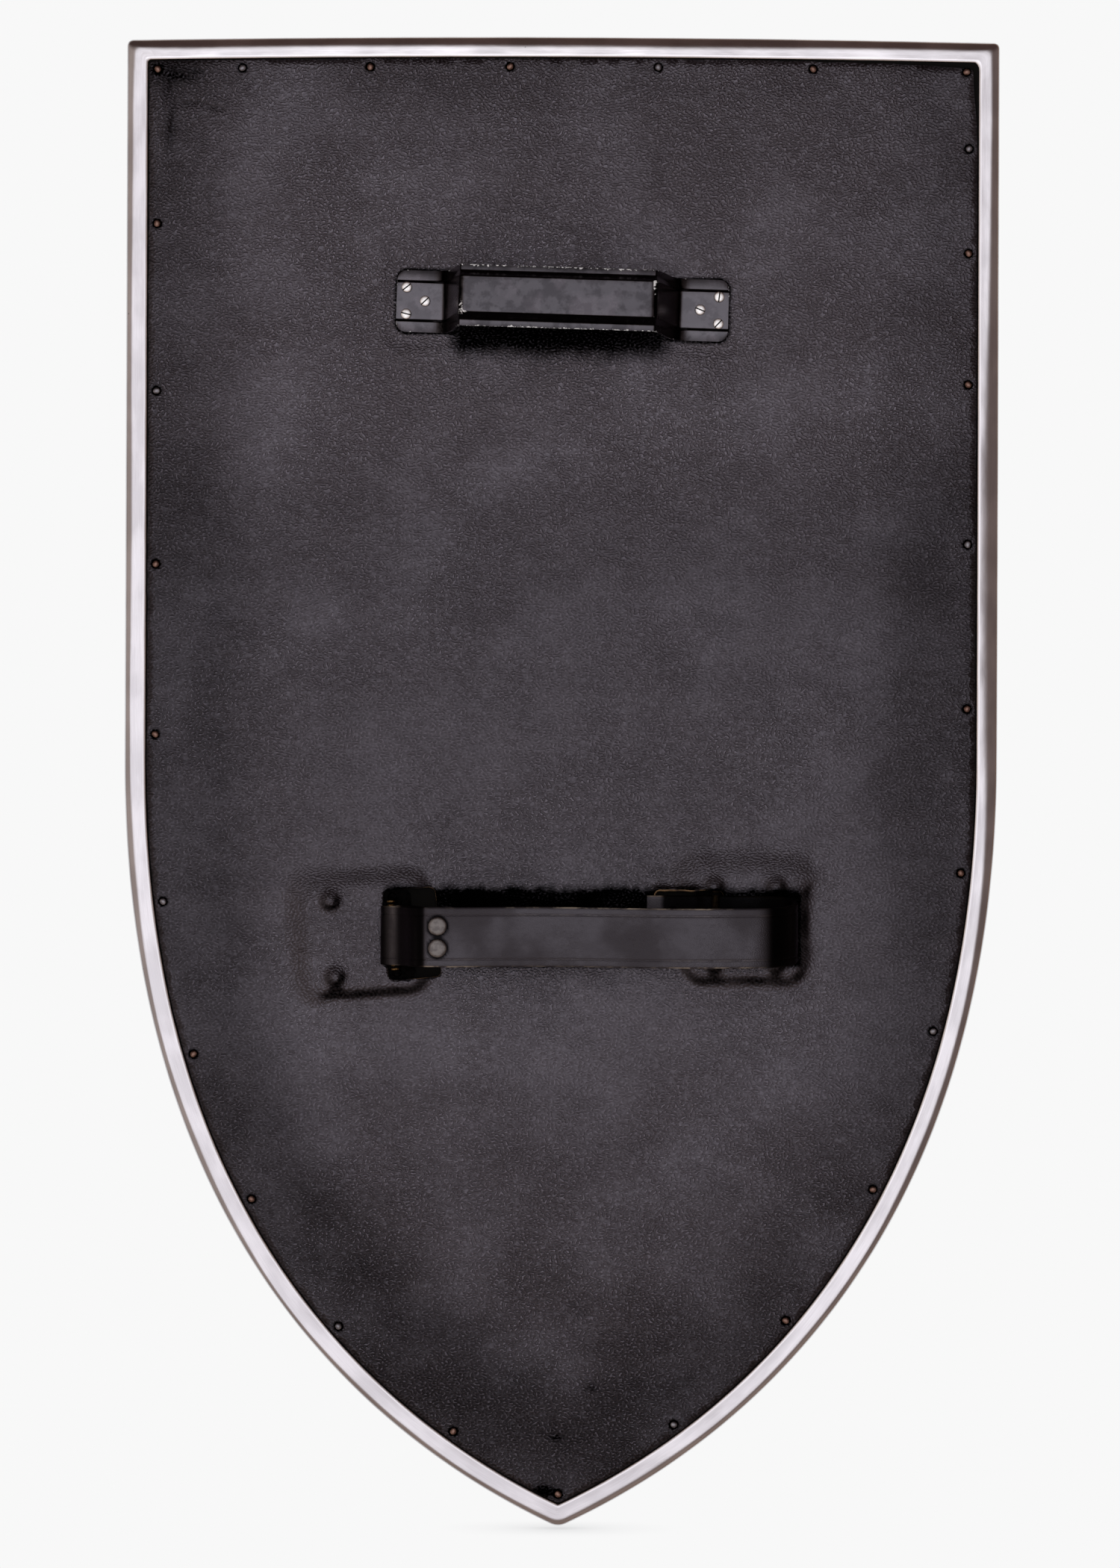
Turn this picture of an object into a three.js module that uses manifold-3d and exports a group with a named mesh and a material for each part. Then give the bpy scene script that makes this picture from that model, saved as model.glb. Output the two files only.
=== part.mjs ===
// A flat heater shield, seen from its back, in millimetres. A plywood board with a steel face is held in
// a rolled steel rim and lined with black leather. A pressed steel grip is screwed on near the top, and a
// leather arm strap hangs on two anchors that are screwed to the board under the lining.
// X points right as the bearer looks at the back, Y through the board to the front, and Z up.
// The origin is the middle of the front face.
import * as THREE from "three";
import { mergeVertices } from "three/addons/utils/BufferGeometryUtils.js";
import Module from "manifold-3d";

const wasm = await Module();
wasm.setup();

// Outline of the shield
const shieldHeight = 760;
const shieldWidth = 445;
const topRise = 2.3; // the top edge bows up this far above its corners
const straightShare = 0.486; // of the height: the sides run straight down this far from the top
const shoulderPullShare = 0.3325; // of the height: reach of the side curve's upper handle
const pointPullShares = [0.375, 0.05]; // of the half width and the height: the handle at the point
const sideSteps = 20;
const topSteps = 8;

// Layers of the board, behind a face sheet that is as thick as the rim's wall
const coreThickness = 8.8;
const liningThickness = 1.3;

// Rolled rim
const rimWidth = 11; // how far each flange reaches in from the outer edge
const rimWall = 1.2;
const rimNose = 5; // depth of the rounded nose, seen from the back
const noseSteps = 8;
const liningGap = 0.8; // between the lining and what it is cut back from

// Clearances and cuts
const seatGap = 0.3; // between pieces that rest on or pass through each other
const cutOverrun = 2; // how far a cutting tool runs past the face that it cuts
const cornerSteps = 4; // in each round corner of a plate or an opening

// Tacks that hold the lining. Their places are shares of the half width or of the height.
const tackHeadRadius = 1.7;
const tackHeadHeight = 0.8;
const tackShankRadius = 0.6;
const tackLength = 6.5;
const tackInset = 5; // from the rim's inner edge
const tackSides = 8;
const tackShoulderShares = [0.8, 0.7]; // of the head's radius and height
const topTackShares = [-0.928, -0.734, -0.442, -0.122, 0.217, 0.571, 0.922];
const leftTackShares = [0.127, 0.239, 0.355, 0.469, 0.581, 0.683, 0.78, 0.865, 0.935];
const rightTackShares = [0.075, 0.145, 0.233, 0.34, 0.45, 0.56, 0.666, 0.772, 0.86, 0.93];

// Pressed steel hand grip
const gripBelowTop = 137.8; // its middle, from the top of the shield
const gripTurn = -1.6; // degrees, anticlockwise as seen from the back
const gripLength = 169;
const gripSheet = 1.5;
const gripHeight = 40; // of the crown above the lining
const leftTabLength = 25;
const rightTabLength = 25.5;
const leftLegRun = 7.6; // how far the leg leans inwards
const rightLegRun = 12.2;
const tabWidth = 31.5;
const tabCrownWidth = 19;
const tabDepth = 1.2; // how far the tab's crown stands above its flanges
const tabWallRun = 0.8;
const tabCorner = 5;
const tabCornerShare = 0.3; // of the corner: how far its middle point is from both sides
const crownWidth = 18.2;
const crownDepth = 7;
const crownWallRun = 3;
const crownFlange = 2.7;

// Slotted screws of the grip, and the plainer ones under the lining
const screwHeadRadius = 2.65;
const screwHeadHeight = 1.9;
const screwShankRadius = 1.3;
const screwReach = 6.5; // how deep a screw goes into the board
const screwSlotWidth = 0.8;
const screwSlotDepth = 0.9;
const screwSides = 12;
const screwRimShare = 0.35; // of the head's height: its upright rim
const screwShoulderShares = [0.75, 0.85]; // of the head's radius and height
const outerScrewFromEnd = 5.1;
const innerScrewFromEnd = 14.6;
const outerScrewSpread = 13.6;
const gripSlotTurns = [40, 45, -12, 85, -20, 48]; // degrees
const plateScrewHeadRadius = 2.3;

// Leather arm strap
const strapWidth = 30;
const strapThickness = 2.8;
const strapZ = -78;
const strapHeight = 39.3; // of its middle line above the board
const strapLoopRadius = 6.2; // of the middle line where it turns round the left pin
const strapLoopTurns = [-50, 110]; // degrees: where the loop's arc begins and ends
const strapLoopShift = 1.3; // the loop hangs this far inboard of the pin
const strapLoopPull = 10; // reach of the handles where the strap leaves the loop
const strapFoldLength = 7; // of the folded end beyond the rivets
const strapFoldPull = 6; // reach of the handle where the folded end turns down
const strapBendReach = 24; // how far the right bend bulges out
const strapBendStart = 94.5; // x where the right bend begins
const strapTailEnd = 44.1;
const strapTailDrop = 8; // length over which the tail comes down to the lining
const strapSteps = 12; // in each of its curves; its straight runs have none
const strapLeastStep = 0.05; // points nearer than this are one point

// Rivets that close the strap's left loop
const rivetX = -61.5;
const rivetSpacing = 11;
const rivetHeadRadius = 4.65;
const rivetHeadHeight = 1.3;
const rivetPostRadius = 1.6;
const rivetBurrRadius = 3.6;
const rivetBurrHeight = 0.9;
const rivetPeenHeight = 0.8;
const rivetSides = 16;
const rivetRimShare = 0.5; // of the head's height: its upright rim
const rivetShoulderShares = [0.8, 0.9]; // of the head's radius and height
const rivetPeenShares = [1.4, 0.6]; // of the post's radius, and of the peen's height: its rim

// Anchors of the strap: a plate with two ears and a pin. In an anchor's own frame +X points inboard.
const leftAnchorX = -99.9;
const leftAnchorTurn = 4; // degrees, anticlockwise as seen from the back
const rightAnchorX = 93.9;
const rightAnchorTurn = 180;
const rightPinZ = -72.5; // the strap's tail lies a little higher than the strap
const plateLength = 50;
const plateThickness = 1.6;
const plateCorner = 4;
const plateMargin = 3.5; // from the screws to the plate's long edges
const plateScrewPitch = 31.5;
const pinRadius = 2;
const pinHeight = 9.2; // of its axis above the board
const pinFromMiddle = 15.1;
const pinProud = 0.8; // how far its ends stand out of the ears
const earThickness = 1.2;
const earRadius = 3.25;
const earGap = 0.6; // between an ear and the strap's edge

// Where the lining stands up over an anchor, and the openings that let the strap out
const tentMargin = 0.6;
const tentSlope = 4; // how far the lining takes to come down round the plate
const tentSlopeShares = [0.35, 0.8]; // of the slope and the rise: where its steeper part begins
const bumpRadius = 5; // over the head of a screw
const bumpShares = [[0.75, 0.5], [0.45, 0.95]]; // of its radius and height: points between foot and top
const leftOpeningReach = 38; // inboard end, from the middle of the anchor
const leftOpeningMargin = 5.4; // beyond the ends of the pin
const rightOpeningReach = 46.4;
const rightOpeningMargin = 0.4;
const openingCorner = 3;

// Two screws hold the strap's tail to the board inside the right opening
const tailScrewX = 57;
const tailScrewSpacing = 14;

// Levels along Y. The face sheet and the rim's front are flush.
const faceBack = -rimWall;
const boardBack = faceBack - coreThickness;
const liningBack = boardBack - liningThickness;

const steel = new THREE.MeshStandardMaterial({ color: 0xcfc8cb, roughness: 0.22, metalness: 1 });
const faceSteel = new THREE.MeshStandardMaterial({ color: 0xb9b6b8, roughness: 0.35, metalness: 1 });
const plywood = new THREE.MeshStandardMaterial({ color: 0xb98d5e, roughness: 0.8, metalness: 0 });
const liningLeather = new THREE.MeshStandardMaterial({ color: 0x3d3a3e, roughness: 0.55, metalness: 0 });
const strapLeather = new THREE.MeshStandardMaterial({ color: 0x37343a, roughness: 0.5, metalness: 0 });
const blackPaint = new THREE.MeshStandardMaterial({ color: 0x2b2a2d, roughness: 0.35, metalness: 0.1 });
const zinc = new THREE.MeshStandardMaterial({ color: 0xc9c7c6, roughness: 0.35, metalness: 1 });
const brass = new THREE.MeshStandardMaterial({ color: 0xb08d57, roughness: 0.4, metalness: 1 });
const copper = new THREE.MeshStandardMaterial({ color: 0x8a6a5c, roughness: 0.5, metalness: 1 });
const blackSteel = new THREE.MeshStandardMaterial({ color: 0x3a3838, roughness: 0.6, metalness: 0.8 });

const shield = new THREE.Group();

function addPiece(name, solidOrGeometry, material, parent = shield) {
  const isGeometry = solidOrGeometry.isBufferGeometry;
  const mesh = new THREE.Mesh(isGeometry ? solidOrGeometry : toGeometry(solidOrGeometry), material);
  mesh.name = name;
  parent.add(mesh);
  return mesh;
}

// A closed geometry as a solid that can be cut and joined. Triangles that closed up at an axis go.
function toSolid(geometry) {
  const bare = geometry.clone();
  bare.deleteAttribute("normal");
  bare.deleteAttribute("uv");
  const merged = mergeVertices(bare);
  const corners = merged.index.array;
  const triangles = [];
  for (let i = 0; i < corners.length; i += 3) {
    const [a, b, c] = corners.slice(i, i + 3);
    if (a !== b && b !== c && c !== a) {
      triangles.push(a, b, c);
    }
  }
  const mesh = new wasm.Mesh({
    numProp: 3,
    vertProperties: new Float32Array(merged.attributes.position.array),
    triVerts: new Uint32Array(triangles),
  });
  return new wasm.Manifold(mesh);
}

function toGeometry(solid) {
  const mesh = solid.getMesh();
  const geometry = new THREE.BufferGeometry();
  geometry.setAttribute("position", new THREE.BufferAttribute(mesh.vertProperties, 3));
  geometry.setIndex(new THREE.BufferAttribute(mesh.triVerts, 1));
  geometry.computeVertexNormals();
  return geometry;
}

// A closed body through rings of 3-D points. Section is the flat shape of a ring, anticlockwise when
// it is seen from where the rings are going.
function loft(rings, section) {
  const count = section.length;
  const last = (rings.length - 1) * count;
  const indices = [];
  for (let ring = 0; ring < rings.length - 1; ring++) {
    for (let i = 0; i < count; i++) {
      const here = ring * count + i;
      const next = ring * count + ((i + 1) % count);
      indices.push(here, next, next + count, here, next + count, here + count);
    }
  }
  for (const [a, b, c] of THREE.ShapeUtils.triangulateShape(section, [])) {
    indices.push(a, c, b, last + a, last + b, last + c);
  }
  const geometry = new THREE.BufferGeometry().setFromPoints(rings.flat());
  geometry.setIndex(indices);
  geometry.computeVertexNormals();
  return geometry;
}

// A stack of flat outlines. Each level has its Y and its points in X and Z, anticlockwise from the back,
// and the levels run from the front to the back.
function stack(levels) {
  const rings = levels.map(({ y, points }) => points.map((p) => new THREE.Vector3(p.x, y, p.y)));
  return toSolid(loft(rings, levels[0].points));
}

const range = (count) => Array.from({ length: count }, (_, i) => i);

// A rectangle with round corners, moved outwards by a distance that its corners grow by as well.
function roundedRectangle(x0, x1, z0, z1, radius, outwards = 0) {
  const middles = [
    [x1 - radius, z0 + radius],
    [x1 - radius, z1 - radius],
    [x0 + radius, z1 - radius],
    [x0 + radius, z0 + radius],
  ];
  return middles.flatMap(([x, z], corner) =>
    range(cornerSteps + 1).map((step) => {
      const angle = ((corner - 1 + step / cornerSteps) * Math.PI) / 2;
      const reach = radius + outwards;
      return new THREE.Vector2(x + reach * Math.cos(angle), z + reach * Math.sin(angle));
    }),
  );
}

// A round bar or hole along Y.
function rod(radius, y0, y1, sides, x = 0, z = 0) {
  const geometry = new THREE.CylinderGeometry(radius, radius, Math.abs(y1 - y0), sides);
  return toSolid(geometry.translate(x, (y0 + y1) / 2, z));
}

// A turned piece along Y. Its profile starts and ends on the axis and runs from the front to the back.
function turned(profile, sides) {
  const points = profile.map(([radius, y]) => new THREE.Vector2(radius, y));
  return toSolid(new THREE.LatheGeometry(points.toReversed(), sides));
}

const join = (solids) => solids.reduce((sum, solid) => sum.add(solid));

const cut = (solid, tools) => tools.reduce((left, tool) => left.subtract(tool), solid);

const place = (solid, x, y, z) => solid.translate([x, y, z]);

// Outline, clockwise as seen from the back, in stations that each hold a point, the way along the
// edge, and the inward direction in which an inset of 1 moves the point
const halfWidth = shieldWidth / 2;
const topZ = shieldHeight / 2;
const pointZ = -topZ;
const cornerZ = topZ - topRise;
const shoulderZ = topZ - straightShare * shieldHeight;

const sideCurve = new THREE.CubicBezierCurve(
  new THREE.Vector2(halfWidth, shoulderZ),
  new THREE.Vector2(halfWidth, shoulderZ - shoulderPullShare * shieldHeight),
  new THREE.Vector2(pointPullShares[0] * halfWidth, pointZ + pointPullShares[1] * shieldHeight),
  new THREE.Vector2(0, pointZ),
);

const topEdgeZ = (share) => cornerZ + topRise * (1 - share * share);

function station(at, along) {
  const way = along.clone().normalize();
  return { at, way, inward: new THREE.Vector2(way.y, -way.x) };
}

function topStations() {
  return range(topSteps + 1).map((i) => {
    const share = (2 * i) / topSteps - 1;
    const at = new THREE.Vector2(share * halfWidth, topEdgeZ(share));
    return station(at, new THREE.Vector2(halfWidth, -2 * topRise * share));
  });
}

function rightStations() {
  const corner = station(new THREE.Vector2(halfWidth, cornerZ), new THREE.Vector2(0, -1));
  const side = range(sideSteps + 1).map((i) => {
    const share = i / sideSteps;
    return station(sideCurve.getPoint(share), sideCurve.getTangent(share));
  });
  return [corner, ...side];
}

function mirrored(stations) {
  const flip = ({ at, way }) => station(new THREE.Vector2(-at.x, at.y), new THREE.Vector2(way.x, -way.y));
  return stations.map(flip).reverse();
}

// Two edges that meet at a corner share one inward direction there.
function mitre(before, after) {
  const a = before.at(-1);
  const b = after[0];
  const shared = a.inward.clone().add(b.inward).divideScalar(1 + a.inward.dot(b.inward));
  a.inward = shared;
  b.inward = shared.clone();
}

const edges = { top: topStations(), right: rightStations(), left: mirrored(rightStations()) };
mitre(edges.top, edges.right);
mitre(edges.right, edges.left);
mitre(edges.left, edges.top);

const inset = ({ at, inward }, distance) => at.clone().addScaledVector(inward, distance);

// The whole outline moved in by a distance, anticlockwise as seen from the back.
function outline(distance) {
  const around = [...edges.top, ...edges.right.slice(1), ...edges.left.slice(1, -1)];
  return around.map((s) => inset(s, distance)).reverse();
}

// Board: a core with a rounded edge, and the face sheet in front of it
function makeCore() {
  const middle = (faceBack + boardBack) / 2;
  const noseRound = rimNose - rimWall + seatGap;
  const levels = range(noseSteps + 1).map((i) => {
    const angle = (i * Math.PI) / noseSteps;
    const distance = rimWall + seatGap + noseRound * (1 - Math.sin(angle));
    return { y: middle + (coreThickness / 2) * Math.cos(angle), points: outline(distance) };
  });
  return stack(levels);
}

function makeFace() {
  const points = outline(rimWidth + seatGap);
  return stack([
    { y: 0, points },
    { y: faceBack, points },
  ]);
}

// Rim: one length of channel along each edge, mitred at the corners
function rimSection() {
  const front = faceBack + rimWall;
  const back = boardBack - rimWall;
  const middle = (front + back) / 2;
  const half = (front - back) / 2;
  const nose = (wall, turn) => {
    const angle = Math.PI / 2 + (turn * Math.PI) / noseSteps;
    const x = rimNose + (rimNose - wall) * Math.cos(angle);
    return new THREE.Vector2(x, middle + (half - wall) * Math.sin(angle));
  };
  const turns = range(noseSteps + 1);
  return [
    new THREE.Vector2(rimWidth, front),
    ...turns.map((turn) => nose(0, turn)),
    new THREE.Vector2(rimWidth, back),
    new THREE.Vector2(rimWidth, boardBack),
    ...turns.toReversed().map((turn) => nose(rimWall, turn)),
    new THREE.Vector2(rimWidth, faceBack),
  ];
}

function makeRim(stations) {
  const section = rimSection();
  const trim = seatGap / Math.SQRT2;
  const rings = stations.map((s, i) => {
    const move = i === 0 ? trim : i === stations.length - 1 ? -trim : 0;
    return section.map((p) => {
      const at = inset(s, p.x).addScaledVector(s.way, move);
      return new THREE.Vector3(at.x, p.y, at.y);
    });
  });
  return loft(rings, section);
}

// Tacks
function sidePlace(share, sign) {
  const line = edges.right.map((s) => inset(s, rimWidth + tackInset));
  const z = topZ - share * shieldHeight;
  const below = line.findIndex((p) => p.y <= z);
  const [a, b] = [line[below - 1], line[below]];
  return new THREE.Vector2(sign * THREE.MathUtils.mapLinear(z, a.y, b.y, a.x, b.x), z);
}

function tackPlaces() {
  const fromEdge = rimWidth + tackInset;
  return [
    ...topTackShares.map((share) => new THREE.Vector2(share * halfWidth, topEdgeZ(share) - fromEdge)),
    ...rightTackShares.map((share) => sidePlace(share, 1)),
    inset(edges.right.at(-1), fromEdge),
    ...leftTackShares.toReversed().map((share) => sidePlace(share, -1)),
  ];
}

function makeTack() {
  const [radiusShare, heightShare] = tackShoulderShares;
  return turned(
    [
      [0, tackLength],
      [tackShankRadius, tackLength - tackShankRadius],
      [tackShankRadius, 0],
      [tackHeadRadius, 0],
      [radiusShare * tackHeadRadius, -heightShare * tackHeadHeight],
      [0, -tackHeadHeight],
    ],
    tackSides,
  );
}

// Screws: the head's seat is at Y 0 and its shank points to the front
function makeScrew(headRadius, length) {
  const [radiusShare, heightShare] = screwShoulderShares;
  const blank = turned(
    [
      [0, length],
      [screwShankRadius, length - screwShankRadius],
      [screwShankRadius, 0],
      [headRadius, 0],
      [headRadius, -screwRimShare * screwHeadHeight],
      [radiusShare * headRadius, -heightShare * screwHeadHeight],
      [0, -screwHeadHeight],
    ],
    screwSides,
  );
  const slot = new THREE.BoxGeometry(2 * (headRadius + cutOverrun), 2 * screwSlotDepth, screwSlotWidth);
  return blank.subtract(toSolid(slot.translate(0, -screwHeadHeight, 0)));
}

// Grip: a hat-shaped section swept over two tabs, two legs and the crown
function gripSection({ crown, wallRun, width, depth }) {
  const slant = Math.hypot(wallRun, depth);
  const shift = (gripSheet * (slant - wallRun)) / depth;
  const crownHalf = crown / 2;
  const footHalf = crownHalf + wallRun;
  const half = width / 2;
  const rightSide = [
    [crownHalf - shift, -gripSheet],
    [footHalf - shift, -depth - gripSheet],
    [half, -depth - gripSheet],
    [half, -depth],
    [footHalf, -depth],
    [crownHalf, 0],
  ];
  const leftSide = rightSide.map(([w, v]) => [-w, v]).reverse();
  return [...rightSide, ...leftSide].map(([w, v]) => new THREE.Vector2(w, v));
}

function gripPath() {
  const end = gripLength / 2;
  const tabTop = tabDepth + gripSheet;
  const barWidth = crownWidth + 2 * (crownWallRun + crownFlange);
  const bar = { crown: crownWidth, wallRun: crownWallRun, width: barWidth, depth: crownDepth };
  const tab = { crown: tabCrownWidth, wallRun: tabWallRun, width: tabWidth, depth: tabDepth };
  const tabAt = (u, share) => ({ u, h: tabTop, ...tab, width: tabWidth - 2 * tabCorner * share });
  const endOfTab = (sign) => [
    tabAt(sign * end, 1),
    tabAt(sign * (end - tabCornerShare * tabCorner), tabCornerShare),
    tabAt(sign * (end - tabCorner), 0),
  ];
  return [
    ...endOfTab(-1),
    tabAt(-end + leftTabLength, 0),
    { u: -end + leftTabLength + leftLegRun, h: gripHeight, ...bar },
    { u: end - rightTabLength - rightLegRun, h: gripHeight, ...bar },
    tabAt(end - rightTabLength, 0),
    ...endOfTab(1).reverse(),
  ];
}

function makeGrip() {
  const path = gripPath();
  const rings = path.map((p, i) => {
    const wayTo = (a, b) => new THREE.Vector2(b.u - a.u, b.h - a.h).normalize();
    const wayIn = i > 0 ? wayTo(path[i - 1], p) : wayTo(p, path[i + 1]);
    const wayOut = i < path.length - 1 ? wayTo(p, path[i + 1]) : wayIn;
    const outward = new THREE.Vector2(-wayIn.y - wayOut.y, wayIn.x + wayOut.x);
    outward.divideScalar(1 + wayIn.dot(wayOut));
    return gripSection(p).map(
      ({ x: w, y: v }) => new THREE.Vector3(p.u + v * outward.x, -(p.h + v * outward.y), w),
    );
  });
  return toSolid(loft(rings, gripSection(path[path.length / 2])));
}

function gripScrewPlaces() {
  const outer = gripLength / 2 - outerScrewFromEnd;
  const inner = gripLength / 2 - innerScrewFromEnd;
  const spread = outerScrewSpread / 2;
  return [-1, 1].flatMap((side) => [
    [side * outer, spread],
    [side * inner, 0],
    [side * outer, -spread],
  ]);
}

// Anchors, from the inside of the ears outwards
const earInner = strapWidth / 2 + earGap;
const earOuter = earInner + earThickness;
const pinEnd = earOuter + pinProud;
const plateScrewZ = earOuter + plateScrewHeadRadius + seatGap;
const plateHalfWidth = plateScrewZ + plateMargin;
const plateBack = boardBack - plateThickness;
const plateScrewPlaces = [-1, 1].flatMap((side) =>
  [1, -1].map((upper) => [(side * plateScrewPitch) / 2, upper * plateScrewZ]),
);

function anchorPlace(side, x, pinZ, turn, openingReach, openingMargin) {
  const angle = THREE.MathUtils.degToRad(turn);
  const pinX = x + pinFromMiddle * Math.cos(angle);
  const z = pinZ - pinFromMiddle * Math.sin(angle);
  return { side, x, z, turn, pinX, openingReach, openingHalfWidth: pinEnd + openingMargin };
}

const anchorPlaces = [
  anchorPlace("left", leftAnchorX, strapZ, leftAnchorTurn, leftOpeningReach, leftOpeningMargin),
  anchorPlace("right", rightAnchorX, rightPinZ, rightAnchorTurn, rightOpeningReach, rightOpeningMargin),
];

// A bar of a given radius along Z, round the pin's axis.
function alongPin(radius, z0, z1, sides) {
  const bar = new THREE.CylinderGeometry(radius, radius, z1 - z0, sides).rotateX(Math.PI / 2);
  return toSolid(bar.translate(pinFromMiddle, boardBack - pinHeight, (z0 + z1) / 2));
}

function makeEar(z0, z1) {
  const foot = new THREE.BoxGeometry(2 * earRadius, pinHeight, z1 - z0);
  foot.translate(pinFromMiddle, boardBack - pinHeight / 2, (z0 + z1) / 2);
  return alongPin(earRadius, z0, z1, screwSides).add(toSolid(foot));
}

function makePlate() {
  const half = plateLength / 2;
  const points = roundedRectangle(-half, half, -plateHalfWidth, plateHalfWidth, plateCorner);
  const plate = stack([
    { y: boardBack, points },
    { y: plateBack, points },
  ]);
  const ears = [makeEar(earInner, earOuter), makeEar(-earOuter, -earInner)];
  const pinHole = alongPin(pinRadius + seatGap / 2, -pinEnd - cutOverrun, pinEnd + cutOverrun, screwSides);
  const holes = plateScrewPlaces.map(([x, z]) =>
    rod(screwShankRadius + seatGap, plateBack - cutOverrun, boardBack + cutOverrun, tackSides, x, z),
  );
  return cut(join([plate, ...ears]), [pinHole, ...holes]);
}

const makePin = () => alongPin(pinRadius, -pinEnd, pinEnd, screwSides);

function inAnchorFrame(solid, { x, z, turn }) {
  return place(solid.rotate([0, -turn, 0]), x, 0, z);
}

// Strap: its middle line in X and height above the board, from the folded end to the tail
const tailRunHeight = pinHeight - pinRadius - seatGap - strapThickness / 2;
const tailHeight = Math.max(liningThickness, plateThickness) + seatGap + strapThickness / 2;
const foldedHeight = strapHeight - strapThickness - seatGap;
const [leftPinX, rightPinX] = anchorPlaces.map((anchor) => anchor.pinX);

function strapCurve() {
  const loopX = leftPinX + strapLoopShift;
  const loopHeight = plateThickness + seatGap + strapThickness / 2 + strapLoopRadius;
  const [start, end] = strapLoopTurns.map(THREE.MathUtils.degToRad);
  const loopPoint = (angle) =>
    new THREE.Vector2(Math.cos(angle), Math.sin(angle)).multiplyScalar(strapLoopRadius);
  const onLoop = (angle) => loopPoint(angle).add(new THREE.Vector2(loopX, loopHeight));
  const loopWay = (angle) => new THREE.Vector2(Math.sin(angle), -Math.cos(angle));
  const [loopStart, loopEnd] = [onLoop(start), onLoop(end)];
  const before = loopStart.clone().addScaledVector(loopWay(start), -strapLoopPull);
  const after = loopEnd.clone().addScaledVector(loopWay(end), strapLoopPull);
  const foldTurn = rivetX - rivetBurrRadius - seatGap;
  const crease = rivetX - rivetHeadRadius;
  const bendHalf = (strapHeight - tailRunHeight) / 2;
  const tailPin = rightPinX - earRadius;
  const tailMiddle = tailPin - strapTailDrop / 2;
  const tailFlat = tailPin - strapTailDrop;
  const top = Math.PI / 2;
  return new THREE.Path()
    .moveTo(rivetX + strapFoldLength, foldedHeight)
    .lineTo(foldTurn, foldedHeight)
    .bezierCurveTo(foldTurn - strapFoldPull, foldedHeight, before.x, before.y, loopStart.x, loopStart.y)
    .absarc(loopX, loopHeight, strapLoopRadius, start, end - 2 * Math.PI, true)
    .bezierCurveTo(after.x, after.y, crease - strapLoopPull, strapHeight, crease, strapHeight)
    .lineTo(strapBendStart, strapHeight)
    .absellipse(strapBendStart, strapHeight - bendHalf, strapBendReach, bendHalf, top, -top, true)
    .lineTo(tailPin, tailRunHeight)
    .bezierCurveTo(tailMiddle, tailRunHeight, tailMiddle, tailHeight, tailFlat, tailHeight)
    .lineTo(strapTailEnd, tailHeight);
}

// The strap moves over to the right pin's level while it goes round the right bend.
function strapLevel(point) {
  const past = (strapHeight - point.y) / (strapHeight - tailRunHeight);
  const onRight = point.x > 0 ? THREE.MathUtils.smoothstep(past, 0, 1) : 0;
  return strapZ + (rightPinZ - strapZ) * onRight;
}

function makeStrap() {
  const isNew = (p, i, all) => i === 0 || p.distanceTo(all[i - 1]) > strapLeastStep;
  const points = strapCurve().getPoints(strapSteps).filter(isNew);
  const halfThickness = strapThickness / 2;
  const halfStrap = strapWidth / 2;
  const section = [
    new THREE.Vector2(-halfStrap, -halfThickness),
    new THREE.Vector2(halfStrap, -halfThickness),
    new THREE.Vector2(halfStrap, halfThickness),
    new THREE.Vector2(-halfStrap, halfThickness),
  ];
  const rings = points.map((p, i) => {
    const before = points[Math.max(i - 1, 0)];
    const after = points[Math.min(i + 1, points.length - 1)];
    const way = after.clone().sub(before).normalize();
    const level = strapLevel(p);
    return section.map(({ x: w, y: v }) => {
      const height = p.y + v * way.x;
      return new THREE.Vector3(p.x - v * way.y, boardBack - height, level + w);
    });
  });
  return toSolid(loft(rings, section));
}

// Rivets: a head on the strap, a post through both layers, and a burr under its peened end
const rivetSeat = boardBack - strapHeight - strapThickness / 2 - seatGap;
const burrSeat = boardBack - foldedHeight + strapThickness / 2 + seatGap;

function makeRivet() {
  const [radiusShare, heightShare] = rivetShoulderShares;
  const [peenShare, peenRimShare] = rivetPeenShares;
  const peen = burrSeat + rivetBurrHeight + seatGap;
  return turned(
    [
      [0, peen + rivetPeenHeight],
      [peenShare * rivetPostRadius, peen + peenRimShare * rivetPeenHeight],
      [peenShare * rivetPostRadius, peen],
      [rivetPostRadius, peen],
      [rivetPostRadius, rivetSeat],
      [rivetHeadRadius, rivetSeat],
      [rivetHeadRadius, rivetSeat - rivetRimShare * rivetHeadHeight],
      [radiusShare * rivetHeadRadius, rivetSeat - heightShare * rivetHeadHeight],
      [0, rivetSeat - rivetHeadHeight],
    ],
    rivetSides,
  );
}

function makeBurr() {
  const back = burrSeat + rivetBurrHeight;
  const ring = rod(rivetBurrRadius, burrSeat, back, rivetSides);
  const hole = rod(rivetPostRadius + seatGap / 2, burrSeat - cutOverrun, back + cutOverrun, rivetSides);
  return ring.subtract(hole);
}

// Lining: a sheet that stands up over the anchors and their screws
function makeTent(wall, base) {
  const foot = boardBack - wall;
  const top = boardBack - plateThickness - seatGap - wall;
  const half = plateLength / 2 + tentMargin + wall;
  const halfZ = plateHalfWidth + tentMargin + wall;
  const slope = wall > 0 ? tentSlope : 0;
  const [slopeShare, riseShare] = tentSlopeShares;
  const level = (y, spread) => ({
    y,
    points: roundedRectangle(-half, half, -halfZ, halfZ, plateCorner + wall, spread),
  });
  const steep = THREE.MathUtils.lerp(foot, top, riseShare);
  return stack([level(base, slope), level(foot, slope), level(steep, slopeShare * slope), level(top, 0)]);
}

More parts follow.
